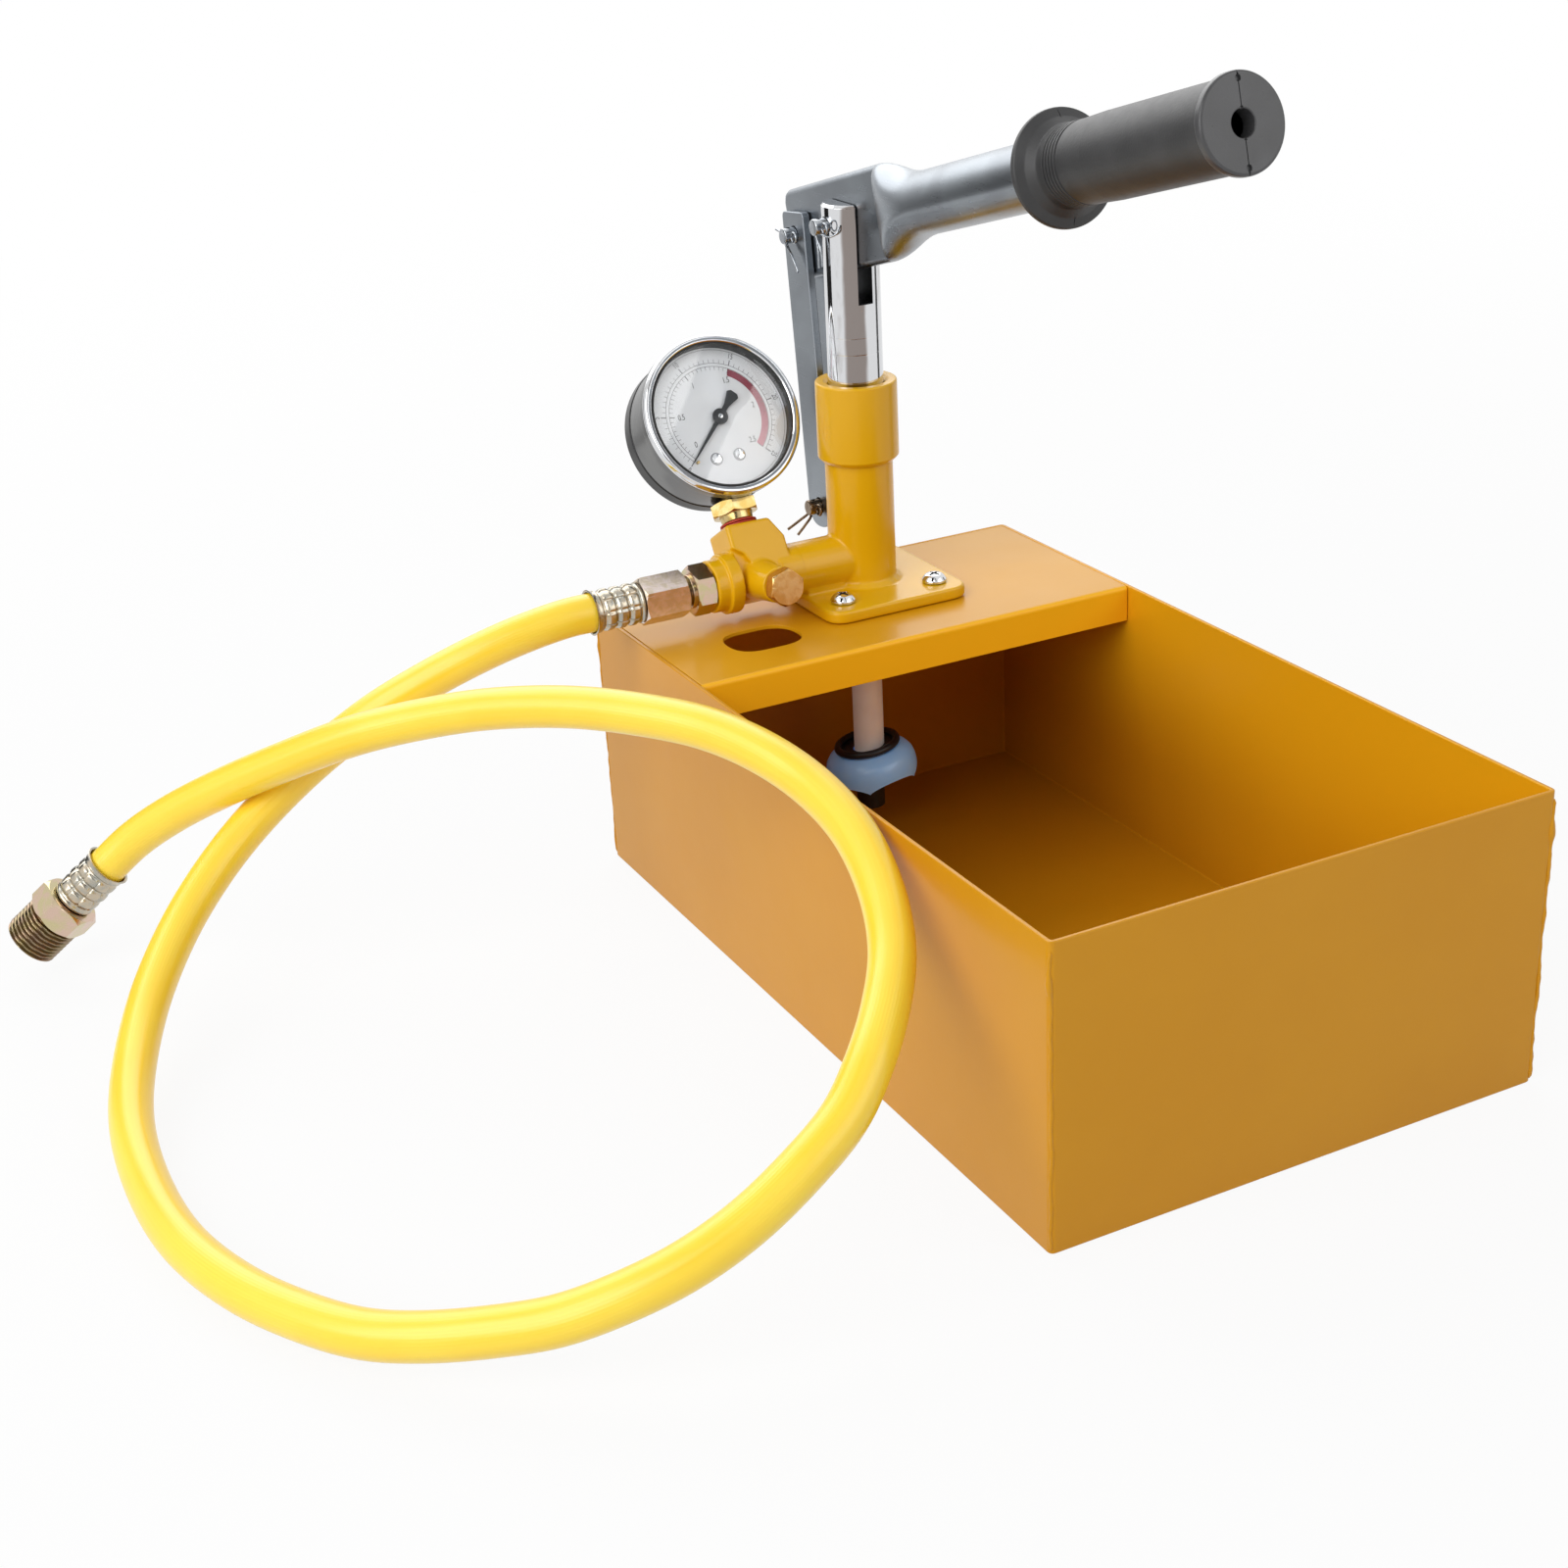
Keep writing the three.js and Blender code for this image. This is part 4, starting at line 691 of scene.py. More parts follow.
# Hose, from the pump's ferrule to the far ferrule
HOSE_POINTS = [
    (-106.1, 123, 118.3), (-118, 123, 118.2), (-134, 124.5, 115.5), (-149, 127.5, 111), (-170, 133.5, 102),
    (-191, 139.5, 91), (-219, 144, 73), (-246, 139, 55.5), (-270, 124, 40), (-291, 99, 26.5), (-307, 67, 16),
    (-315, 39, 11), (-318, 5, 8), (-316, -30, 7.6), (-308, -60, 8), (-297, -84, 9), (-284, -105, 11),
    (-271, -119, 14), (-255, -132, 18), (-239, -142, 22), (-221, -149, 28), (-204, -152.5, 34),
    (-186, -152.5, 41), (-167, -149.5, 50), (-150, -143.5, 58), (-137, -135, 67), (-124, -122, 75),
    (-112.5, -106, 83), (-104.8, -86.5, 92), (-101, -63, 101.3), (-102.5, -41, 108), (-109, -19.5, 113.8),
    (-119, 3, 117), (-133.5, 26, 117.5), (-149, 48, 116), (-168.5, 72, 111.5), (-187, 92, 105),
    (-207, 110, 97), (-228, 129.5, 85), (-247, 147, 73), (-263.5, 161, 61.5), (-277, 171.3, 50.2),
    (-288.7, 176.4, 39.3),
]
hose_line = along(HOSE_POINTS, 12)
hose = tube("hose_tube", hose_line, lambda i, a: HOSE_DIAMETER / 2, 48)
fitted(hose, "pump", hose_rubber, "hose")
far_way = (hose_line[-1] - hose_line[-2]).normalized()
far_turn = Vector((0, 0, 1)).rotation_difference(far_way).to_matrix().to_4x4()
far_frame = Matrix.Translation(hose_line[-1] + far_way * (GAP - RIM)) @ far_turn


# Outlet fittings and the hose's ends
def ferrule(name, start, end, radius, rim_radius, waist, rows_at, place):
    """A sleeve pressed onto the hose, with rows of square pads and a flared rim at its end."""
    sides, steps, pads, thick, wall = 128, 120, 9, 2.6, 0.8
    inside = HOSE_DIAMETER / 2 + 0.05
    angles = [TURN * k / sides for k in range(sides)]

    def radius_at(share, angle):
        lip = max(0, (share - 0.9) / 0.1)
        flare = radius + (rim_radius - radius) * lip ** 2
        groove = min(abs(share - row_at) for row_at in rows_at) / 0.045
        trough = exp(-groove ** 2)
        pressed = 0 if share > 0.88 or share < 0.04 else 1
        around = (1 - abs(sin(angle * pads / 2))) ** 5
        uneven = noise.noise(Vector((cos(angle) * 2, sin(angle) * 2, share * 6 + start)))
        between = min(1, max(0, (share - rows_at[0]) / 0.05)) * min(1, max(0, (rows_at[-1] - share) / 0.05))
        dent = (radius - waist) * trough + 0.75 * around * between - 0.22 * uneven * between
        return flare - pressed * dent

    rings = [circle(radius - thick, sides, start), circle(radius - 0.9, sides, start)]
    for i in range(steps + 1):
        share = i / steps
        height = start + (end - start) * share
        sink = 0.6 * exp(-share * 40)
        rings.append([
            ((radius_at(share, a) - sink) * cos(a), (radius_at(share, a) - sink) * sin(a), height)
            for a in angles
        ])
    mouth = [
        (rim_radius - 0.25, end + 0.12), (rim_radius - wall, end), (inside, end - 1.4),
        (inside, end - RIM - 1), (radius - thick, end - RIM - 1),
    ]
    rings += [circle(r, sides, height) for r, height in mouth]
    return lofted(name, rings, place, closed=True)


# Where the fittings start and end: along the outlet from the column, and along the far end from the hose
NIPPLE_HEX, UNION_NUT, PUMP_SLEEVE = (66.3, 74), (77, 94.7), (95, 114.5)
FAR_SLEEVE, FAR_HEX, FAR_THREAD = (0, 19.8), (20.1, 29.7), (29.3, 44.3)
BORE = 2.5
pump_rows, far_rows = (0.08, 0.32, 0.57, 0.82), (0.12, 0.36, 0.6, 0.84)
pump_sleeve = ferrule("pump_sleeve", *PUMP_SLEEVE, 7.9, 8.6, 7.1, pump_rows, outlet_frame)
pump_stem_outline = [(BORE, 88.3), (5.2, 88.3, 0.3), (5.2, 89.7), (3.7, 89.7), (3.7, 96), (BORE, 96)]
pump_stem = turned("pump_stem", pump_stem_outline, outlet_frame)
fitted(gathered("pump_hose_sleeve", [pump_sleeve, pump_stem]), "pump", crimp_zinc, "pump_ferrule")

sleeve_frame = far_frame @ move(0, 0, FAR_SLEEVE[1]) @ turn_about("X", 180)
far_sleeve = ferrule("far_hose_sleeve", *FAR_SLEEVE, 8.1, 8.9, 7.4, far_rows, sleeve_frame)
fitted(far_sleeve, "pump", crimp_zinc, "far_ferrule")


def threaded(name, crest, depth, pitch, low, high, bore, place):
    """A screw thread: one ridge that climbs round the rod, and fades at both ends. Its zinc is dull."""
    sides, finer, runout = 64, 10, 1.2
    count = int((high - low) / pitch * finer)
    rings = []
    for i in range(count + 1):
        height = low + (high - low) * i / count
        fade = min(1, (height - low) / runout, (high - height) / runout + 0.35)
        ring_points = []
        for k in range(sides):
            angle = TURN * k / sides
            turn_share = (height / pitch - k / sides) % 1
            ridge = min(1, max(0, 1.35 - abs(turn_share - 0.5) * 3.4))
            radius = crest - depth + depth * ridge * max(0, fade)
            ring_points.append((radius * cos(angle), radius * sin(angle), height))
        rings.append(ring_points)
    thread = lofted(name, [*rings, circle(bore, sides, high), circle(bore, sides, low)], place, closed=True)
    soiled = thread.data.attributes.new("soiled", "FLOAT", "POINT")
    soiled.data.foreach_set("value", [1] * len(thread.data.vertices))
    return thread


nipple_outline = [
    (BORE, 60.2), (5.7, 60.2), (5.7, 73), (6.5, 73), (6.5, 75, 0.3), (4.6, 75), (4.6, 80), (BORE, 80),
]
nipple = gathered("outlet_nipple_piece", [
    hex_bar("nipple_hex", 17, *NIPPLE_HEX, 0.8, outlet_frame, 0.2),
    turned("nipple_core", nipple_outline, outlet_frame),
    threaded("nipple_thread", 5.5, 0.7, 1.4, 75, 87, BORE, outlet_frame),
])
fitted(nipple, "pump", yellow_zinc, "outlet_nipple")

nut = hex_bar("union_nut", 16, *UNION_NUT, 0.8, outlet_frame, 0.08)
cut(nut, rod(5.8, 75, 90, outlet_frame), rod(4, 74, 97, outlet_frame))
fitted(nut, "hose_nut", pink_zinc, "hose_nut")

far_fitting = gathered("far_male_fitting", [
    hex_bar("far_hex", 21, *FAR_HEX, 1.5, far_frame, 0.62),
    turned("far_neck", [(BORE, 14.1), (5, 14.1), (5, 21), (BORE, 21)], far_frame),
    threaded("far_thread", 10.48, 1.1, 1.8, *FAR_THREAD, 5.5, far_frame),
])
fitted(far_fitting, "pump", yellow_zinc, "far_end_fitting")

tuple(hose_line[0] * MM)
[tuple(point * MM) for point in hose_line]


# Tank and shelf
def rectangle(width, length, radius, x=0, y=0):
    w, h = width / 2, length / 2
    return [(x - w, y - h, radius), (x + w, y - h, radius), (x + w, y + h, radius), (x - w, y + h, radius)]


tank = prism("tank", rectangle(TANK_WIDTH, TANK_LENGTH, 2.2), 0, SHELF_Z)
inside = rectangle(TANK_WIDTH - 2 * SHEET, TANK_LENGTH - 2 * SHEET, 0.8)
cut(tank, prism("inside", inside, SHEET, SHELF_Z + OVERRUN))
fitted(bevelled(tank, 0.35), "pump", tank_paint, "tank_body")


def seam(name, x, y, seed, size):
    """A weld run down a corner of the tank: it wanders, swells and ends in a drip."""
    count, rise, drip_at = 90, 1.12, 79
    centres = []
    for i in range(count):
        height = 1.2 + i * rise
        wander = noise.noise(Vector((seed, height * 0.07, 0))) * 0.9 * size
        centres.append(Vector((x + wander, y - wander, height)))

    def radius_at(i, angle):
        ripple = noise.noise(Vector((i * 0.35, seed, angle)))
        drip = 0.9 * exp(-((i - drip_at) / 3) ** 2)
        return size * (0.95 + 0.35 * ripple + drip) * (0.35 if i in (0, count - 1) else 1)

    return tube(name, centres, radius_at, 14)


SEAM_X, SEAM_Y = 91.9, 159.4
seam_places = [(-SEAM_X, -SEAM_Y, 0.6), (SEAM_X, -SEAM_Y, 0.8), (SEAM_X, SEAM_Y, 0.7), (-SEAM_X, SEAM_Y, 0.6)]
seams = [seam("seam", x, y, seed, size) for seed, (x, y, size) in enumerate(seam_places, 1)]
fitted(gathered("tank_corner_seams", seams), "pump", tank_paint)

half_shelf = TANK_WIDTH / 2 - SHEET - GAP
fold = [
    (SHELF_BACK, SHELF_Z - SHEET),
    (SHELF_BACK, SHELF_Z),
    (SHELF_FRONT, SHELF_Z, BEND),
    (SHELF_FRONT, SHELF_Z - LIP),
    (SHELF_FRONT + SHEET, SHELF_Z - LIP),
    (SHELF_FRONT + SHEET, SHELF_Z - SHEET, BEND - SHEET),
]
shelf = prism("shelf", fold, -half_shelf, half_shelf, side_frame)
HOLE_X, HOLE_Y = -51.5, SHELF_FRONT + 30.5
oval = rectangle(29, 22.5, 11.2, HOLE_X, HOLE_Y)
UNDER_SHELF, OVER_SHELF = SHELF_Z - 6, SHELF_Z + 4


def screw_holes(low, high, place):
    """Four rods where the base plate's screws go."""
    places = [(i * SCREW_X, j * SCREW_Y) for i in (-1, 1) for j in (-1, 1)]
    return [rod(SCREW_HOLE, low, high, place @ move(x, y, 0), 24) for x, y in places]


cut(
    shelf,
    prism("oval", oval, SHELF_Z - 4, OVER_SHELF, steps=12),
    rod(SUCTION_HOLE, UNDER_SHELF, OVER_SHELF, column_frame),
)
cut(shelf, *screw_holes(UNDER_SHELF, OVER_SHELF, column_frame))
fitted(bevelled(shelf, 0.3), "pump", shelf_paint, "tank_shelf")


# Pump body: base plate, column, outlet pipe and lug in one weldment under thick paint
def ring_bead(name, points, radius, seed):
    """A weld bead along a closed line of points."""
    line = [Vector(point) for point in points]
    sides = 10
    rings = []
    for i, centre in enumerate(line):
        tangent = (line[(i + 1) % len(line)] - line[i - 1]).normalized()
        side = tangent.cross(Vector((0, 0, 1)) if abs(tangent.z) < 0.9 else Vector((1, 0, 0))).normalized()
        lift = side.cross(tangent)
        bead = []
        for k in range(sides):
            angle = TURN * k / sides
            swell = radius * (1 + 0.35 * noise.noise(Vector((i * 0.45, seed, sin(angle)))))
            bead.append(centre + (side * cos(angle) + lift * sin(angle)) * swell)
        rings.append(bead)
    return lofted(name, rings, closed=True)


GLAND_BORE, COLUMN_RADIUS, PIPE_RADIUS = 10.8, 13, 10
PORT, VALVE_CHAMBER, OUTLET_BORE = 3, 5.4, 3.5


def pump_casting():
    """Base plate, column, outlet pipe with its nose, the links' lug and the web under the pipe."""
    plate, column_top, pipe_end, nose_end, gland_floor = 5, 64, 30.7, 37.7, 20
    body = prism("pump_casting", rectangle(60, 63, 8), GAP, plate, base_frame, 8)
    bevelled(body, 0.8, 2, 60)
    lug = [(10, 20.5), (31.5, 20.5, 8.4), (31.5, 37.5, 8.4), (10, 37.5)]
    joined(
        body,
        rod(COLUMN_RADIUS, plate - 1, column_top, base_frame, 96),
        rod(PIPE_RADIUS, 0, pipe_end, outlet_frame, 72),
        rod(PIPE_THREAD, 20, nose_end, outlet_frame),
        prism("lug", lug, -2.5, 2.5, base_frame @ side_frame, 8),
        box(-28, -12, -8, 8, plate - 1, 9, base_frame),
    )
    steps, around_pipe = 96, PIPE_RADIUS + 0.2
    foot_line = [base_frame @ Vector(point) for point in circle(COLUMN_RADIUS + 0.4, steps, 5.2)]
    saddle = []
    for angle in (TURN * k / steps for k in range(steps)):
        out = sqrt(COLUMN_RADIUS ** 2 - PIPE_RADIUS ** 2 * cos(angle) ** 2)
        y, z = COLUMN_Y + around_pipe * cos(angle), PIPE_Z + around_pipe * sin(angle)
        saddle.append((COLUMN_X - 0.3 - out, y, z))
    joined(body, ring_bead("foot_bead", foot_line, 1.2, 5), ring_bead("pipe_bead", saddle, 0.8, 6))
    lug_frame = base_frame @ move(0, LINK_FOOT[0] - COLUMN_Y, LINK_FOOT[1] - SHELF_Z)
    cut(
        body,
        rod(GLAND_BORE, gland_floor, column_top + 6, base_frame, 72),
        rod(PORT, 5, gland_floor + 2, base_frame),
        rod(VALVE_CHAMBER, 8.8, 18.6, base_frame),
        rod(SUCTION_HOLE, -2, 7, base_frame),
        rod(OUTLET_BORE, 0, 40, outlet_frame),
        rod(PIN_HOLE, -8, 8, lug_frame @ turn_about("Y", 90)),
        *screw_holes(-2, 8, base_frame),
    )
    return cast(body, 0.55, 5)


fitted(pump_casting(), "pump", pump_paint, "pump_body")

# Screws and nuts that hold the base plate
screw_outline = [
    (0, -7.8), (2.5, -7.8, 0.4), (2.5, 5.3), (4.75, 5.3, 0.2), (4.75, 6.3, 0.9), (3.4, 8.2, 2.4), (0, 8.7),
]
screw = turned("screw", screw_outline)
for degrees in (20, 110):
    cut(screw, prism("slot", rectangle(5.2, 1.1, 0.2), 6.9, 10, turn_about("Z", degrees)))
cut(screw, turned("point", [(0, 6.2), (1.3, 9.5), (0, 9.5)], sides=24))
under_nut = hex_bar("under_nut", 8, -5.8, -1.8, 1)
cut(under_nut, rod(SCREW_HOLE, -8, 0))
screw_pitch = {"Pitch X": 2 * SCREW_X * MM, "Pitch Y": 2 * SCREW_Y * MM}
for kind, piece, finish in (("screw", bevelled(screw, 0.08, 2), chrome), ("nut", under_nut, pin_zinc)):
    copies = repeated("base_%ss" % kind, corners, piece, finish, base_frame, screw_pitch)
    fitted(copies, "pump", finish, *["base_%s_%d" % (kind, i) for i in (1, 2, 3, 4)])

# Gland cap and plunger
cap_outline = [
    (13.3, 157, 0.4), (14, 157, 0.5), (15.5, 158.6, 0.8), (15.5, 187.6, 0.9), (12.4, 187.6, 0.4),
    (GLAND_BORE, 186.4, 0.3), (GLAND_BORE, 181), (13.3, 181),
]
fitted(turned("gland_cap_piece", cap_outline, column_frame, 96), "pump", pump_paint, "gland_cap")

plunger_outline = [
    (0, 153), (PLUNGER, 153, 1),
    (PLUNGER, 198.4), (PLUNGER - 0.07, 198.6), (PLUNGER - 0.07, 198.9), (PLUNGER, 199.1),
    (PLUNGER, 204.8), (PLUNGER - 0.05, 204.9), (PLUNGER - 0.05, 205.1), (PLUNGER, 205.2),
    (PLUNGER, 252.7, 0.2), (PLUNGER - 1, 253.7, 0.2), (0, 253.7),
]
plunger = turned("plunger_rod", plunger_outline, column_frame, 128)
opening = box(-3, 3, -20, 20, 217.5, 260, column_frame)
cut(plunger, opening, rod(PIN_HOLE, -20, 20, pin_frame @ turn_about("Y", 90), 32))
fitted(bevelled(plunger, 0.2, 2, 50), "plunger", rod_chrome, "plunger")
# Painted shade: thin near-black sheets line the sides and floor of the slot in the rod's top.
NEAR, FAR, HALF_DEPTH = 2.86, 2.99, 9.6
slot_shade_sheets = [
    box(*sorted((sign * NEAR, sign * FAR)), -HALF_DEPTH, HALF_DEPTH, 217.6, 252.4, column_frame)
    for sign in (-1, 1)
]
slot_shade_sheets.append(box(-NEAR, NEAR, -HALF_DEPTH, HALF_DEPTH, 217.55, 217.7, column_frame))
fitted(gathered("plunger_slot_sides", slot_shade_sheets), "plunger", painted_shade_steel)


# Pins and split pins
TAIL, DRILLED = 5, 2.4


def clevis_pin(name, face, place):
    """A pin along X with its head on +X, and a drilled end on -X."""
    radius, head, thick = 3, 4.5, 2.5
    tail, seat = -face - TAIL, face + GAP
    outline = [
        (0, tail), (radius, tail, 0.6), (radius, seat), (head, seat, 0.2), (head, face + thick, 0.6),
        (0, face + thick),
    ]
    pin = turned(name, outline, place @ turn_about("Y", 90), 40)
    return cut(pin, rod(0.95, -8, 8, place @ move(tail + DRILLED, 0, 0), 16))


def split_pin(name, face, place, bends, thick):
    """A split pin of bent wire: its ring is at the front of the pin, and its legs go where the bends say."""
    x = DRILLED - TAIL - face
    eye = [
        (0, 1.6, 0.35), (0, -2.6, 0.35), (0, -4, 1.7), (0, -5.9, 1.5), (0, -6.7, -0.1), (0, -5.8, -1.7),
        (0, -4, -1.8), (0, -2.6, -0.35), (0, 1.6, -0.35),
    ]
    lines = [[(x + dx, y, z) for dx, y, z in line] for line in (eye, *bends)]
    return gathered(name, [wire("strand", line, thick, place, 10, 5) for line in lines])


plunger_bends = [
    [(0, 1, 0.35), (0, 3.5, 0), (0, 3.8, -2), (0.2, 2.2, -4.4), (0, 0.8, -9), (-0.2, 0.4, -15)],
    [(0, 1, -0.35), (0, 3, -1), (0.2, 2, -4), (0.4, -0.6, -9), (0.5, -0.9, -14.4)],
    [(0, -2.6, -2.4), (1.4, -5.4, -3), (3.4, -7.8, -1.6), (4.6, -7.6, 0.6)],
]
upper_bends = [
    [(0, 1, 0.35), (-0.2, 4, 0.5), (-0.6, 8.5, 1.2)],
    [(0, 1, -0.35), (0, 3, -1), (0, 2, -4), (-0.1, -2, -6.4), (-0.2, -7.6, -12.2)],
    [(0.3, 1, -0.35), (0.4, 3, -1.2), (0.6, 1.6, -4.4), (0.5, -2.2, -7.6), (0.3, -6.2, -13)],
]
lower_bends = [
    [(0, 1, 0.35), (0, 3.4, -0.6), (-0.6, 3, -3), (-4.2, 3.4, -5.4), (-9.4, 4.4, -8.6)],
    [(0, 1, -0.35), (0, 2.6, -1.6), (-0.6, 1, -3.8), (-3.6, 0, -6.4), (-7.6, -0.6, -9.8)],
]
upper_frame, lower_frame = move(COLUMN_X, *LINK_HEAD), move(COLUMN_X, *LINK_FOOT)
for key, node, body, face, place, bends, thick, pin_finish in (
    ("plunger", "plunger_pin", "plunger", PLUNGER, pin_frame, plunger_bends, 0.8, pin_zinc),
    ("upper", "upper_link_pin", "links", STRAP_FACE, upper_frame, upper_bends, 0.8, pin_zinc),
    ("lower", "lower_link_pin", "pump", STRAP_FACE, lower_frame, lower_bends, 1.1, bronze),
):
    fitted(clevis_pin(key + "_clevis_pin", face, place), body, pin_finish, node)
    fitted(split_pin(key + "_split_pin", face, place, bends, thick), body, pin_finish, key + "_cotter")


# Link straps
def strap(name, low, high):
    """A flat bar between the two link pins, square at the top and round at the foot."""
    foot, head = Vector(LINK_FOOT), Vector(LINK_HEAD)
    way = (head - foot).normalized()
    turn = Matrix.Rotation(atan2(way.y, way.x), 4, "Z")
    bar_frame = move(COLUMN_X, 0, 0) @ (side_frame @ move(foot.x, foot.y, 0) @ turn)
    reach, half = (head - foot).length, 8.5
    bar = [(-half, -half, 8.4), (reach + half, -half, 2.5), (reach + half, half, 2.5), (-half, half, 8.4)]
    holes = [rod(PIN_HOLE, -20, 20, bar_frame @ move(at, 0, 0), 40) for at in (0, reach)]
    return bevelled(cut(prism(name, bar, low, high, bar_frame, 10), *holes), 0.35, 2, 50)


for hand, low, high in (("left", -STRAP_FACE, -3), ("right", 3, STRAP_FACE)):
    fitted(strap("strap_" + hand, low, high), "links", zinc, "link_strap_" + hand)


# Lever and grip: local +Z runs forward along the lever, and the plunger's pin is at zero
def tube_section(width, height, place_z):
    """The outline of a tube, which may be pressed flat."""
    corner, sides = min(width, height) / 2, 48
    points = []
    for k in range(sides):
        angle = TURN * (k + 0.5) / sides
        x = copysign(width / 2 - corner, cos(angle)) + corner * cos(angle)
        y = copysign(height / 2 - corner, sin(angle)) + corner * sin(angle)
        points.append((x, y, place_z))
    return points


def lever_piece():
    """A tube that is pressed flat at its rear end, where the two pins go through."""
    thick, tall, round_size, neck, neck_length, front = 5, 34.4, 22, 28.6, 31.4, 233
    neck_shares = [
        (0, 0, 0), (0.03, 0.17, 0.003), (0.07, 0.31, 0.015), (0.13, 0.45, 0.05), (0.2, 0.57, 0.11),
        (0.3, 0.71, 0.24), (0.4, 0.81, 0.4), (0.52, 0.9, 0.6), (0.65, 0.95, 0.77), (0.8, 0.985, 0.91),
        (1, 1, 1),
    ]
    rings = [tube_section(thick, high, at) for high, at in ((29.6, -44.8), (33.2, -44), (tall, -42.3))]
    for place_share, wide_share, tall_share in neck_shares:
        wide = thick + (round_size - thick) * wide_share
        high = tall + (round_size - tall) * tall_share
        rings.append(tube_section(wide, high, neck + neck_length * place_share))
    rings.append(tube_section(round_size, round_size, front))
    lever = lofted("lever_bar", rings, handle_frame)
    slot_outline = [(-4.8, -4.5, 4.4), (4.8, -4.5, 4.4), (4.8, 6.3, 4.4), (-4.8, 6.3, 4.4)]
    pin_hole = rod(PIN_HOLE, -20, 20, handle_frame @ move(0, 0, -35) @ turn_about("Y", 90), 40)
    pin_slot = prism("pin_slot", slot_outline, -12, 12, handle_frame @ side_frame, 10)
    cut(lever, rod(9, 60, 240, handle_frame, 64), pin_hole, pin_slot)
    return shaded(lever, radians(24))


fitted(lever_piece(), "lever", zinc, "handle_lever")


def mark_box(half_width, sign, near, far, low, high):
    """A box before or behind the grip's middle line, to cut a mark with."""
    return box(-half_width, half_width, *sorted((sign * near, sign * far)), low, high, handle_frame)


def grip_piece():
    """A moulded sleeve: a flange, five fine ribs, and a body that swells a little towards its end disc."""
    start, end = GRIP_START, GRIP_END
    outline = [
        (11.3, start, 0.3), (17.2, start, 1), (18.6, start + 1.2, 0.8), (18.6, start + 3, 0.9),
        (15.6, start + 4.6, 2), (13.2, start + 7.2, 1.5),
    ]
    for i in range(5):
        rib = start + 9.4 + i * 1.7
        outline += [(13, rib), (13, rib + 0.9, 0.2), (12.5, rib + 1.05, 0.1), (12.5, rib + 1.5, 0.1)]
    outline += [
        (12.9, start + 18), (12.9, start + 20, 3), (13.3, start + 32, 8), (13.3, end - 3.4, 0.5),
        (11.3, end - 3.4),
    ]
    grip = turned("grip", outline, handle_frame, 96)
    return cut(grip, *[mark_box(0.12, sign, 12.5, 20, start + 3.4, start + 5) for sign in (-1, 1)])


def grip_end_disc():
    """The closed end stands a little proud of the body, with the mould's parting line across it."""
    end, over = GRIP_END, GRIP_END + 1
    outline = [
        (4, end - 5.7), (13, end - 5.7), (13, end - 3.6), (14.5, end - 3, 0.8), (14.5, end, 1.1),
        (4, end, 0.5),
    ]
    disc = turned("grip_end_disc", outline, handle_frame, 96)
    cuts = []
    for sign in (-1, 1):
        cuts.append(mark_box(0.16, sign, 3.6, 15, end - 0.6, over))
        cuts.append(mark_box(0.35, sign, 12.2, 13.6, end - 0.9, over))
        cuts.append(rod(1, end - 0.9, over, handle_frame @ move(0, sign * 12.2, 0), 20))
        cuts.append(mark_box(0.5, sign, 3.7, 4.7, end - 0.5, over))
    return cut(disc, *cuts)


fitted(grip_end_disc(), "lever", grip_end)
fitted(grip_piece(), "lever", grip_rubber, "handle_grip")


# Tee
def tee_casting():
    """A forged tee: an upright block with one broad corner, a collar, two pipe stubs and the plug's boss."""
    low, high, left_side, right_side, depth, corner, collar = -8, 20, -9.5, 13, 9.5, 5, 11.5
    front = [
        (left_side + corner, low), (right_side - corner, low), (right_side, low + corner),
        (right_side, high - 8), (8.5, high), (left_side, high), (left_side, low + corner),
    ]
    upright = stem_frame @ turn_about("X", 90)
    body = prism("tee", front, -depth, depth, upright)
    bevelled(body, 0.9, 2)
    hollow = [(-12, 13), (-12, -6), (-8.6, -6), (-2.4, 1.6), (-5.4, 8)]
    cut(body, prism("hollow", hollow, 7, 14, upright))
    outlet_way, pump_way = tee_frame @ turn_about("Y", -90), tee_frame @ turn_about("Y", 90)
    stub = [(0, -19.4), (9.6, -19.4), (10.1, -16.8), (10.1, -8), (0, -8)]
    boss = [(0, 0), (8.2, 3), (7.2, 12.5), (6.7, 22), (0, 22)]
    joined(
        body,
        turned("stub", stub, outlet_way),
        rod(PIPE_RADIUS, 8.6, 19.1, outlet_way, 72),
        rod(collar, 9, 14.1, outlet_way, 72),
        turned("boss", boss, plug_frame),
    )
    cut(
        body,
        rod(PIPE_THREAD + GAP, -9, 16, pump_way @ move(0, 0, 17.5)),
        rod(5, -9.4, 12, pump_way),
        rod(PIPE_THREAD, 13, 24, outlet_way),
        rod(6, 11.7, 24, stem_frame),
        rod(STEM_BORE, 0, 20, stem_frame),
        rod(4.3, 10.7, 26, plug_frame),
    )
    return cast(body, 0.42, 5)


fitted(tee_casting(), "pump", pump_paint, "gauge_tee")

PLUG_HEX, STEM_HEX = (23.6, 28.9), (25, 30.1)
plug_head = hex_bar("relief_plug_piece", 12.7, *PLUG_HEX, 0.9, plug_frame, 0.3)
joined(plug_head, rod(4, 11, 25, plug_frame))
fitted(plug_head, "relief_plug", gold_zinc, "relief_plug")
fitted(ring("plug_washer", 4.3, 5.5, 22.3, 23.3, plug_frame), "pump", fibre, "relief_washer")

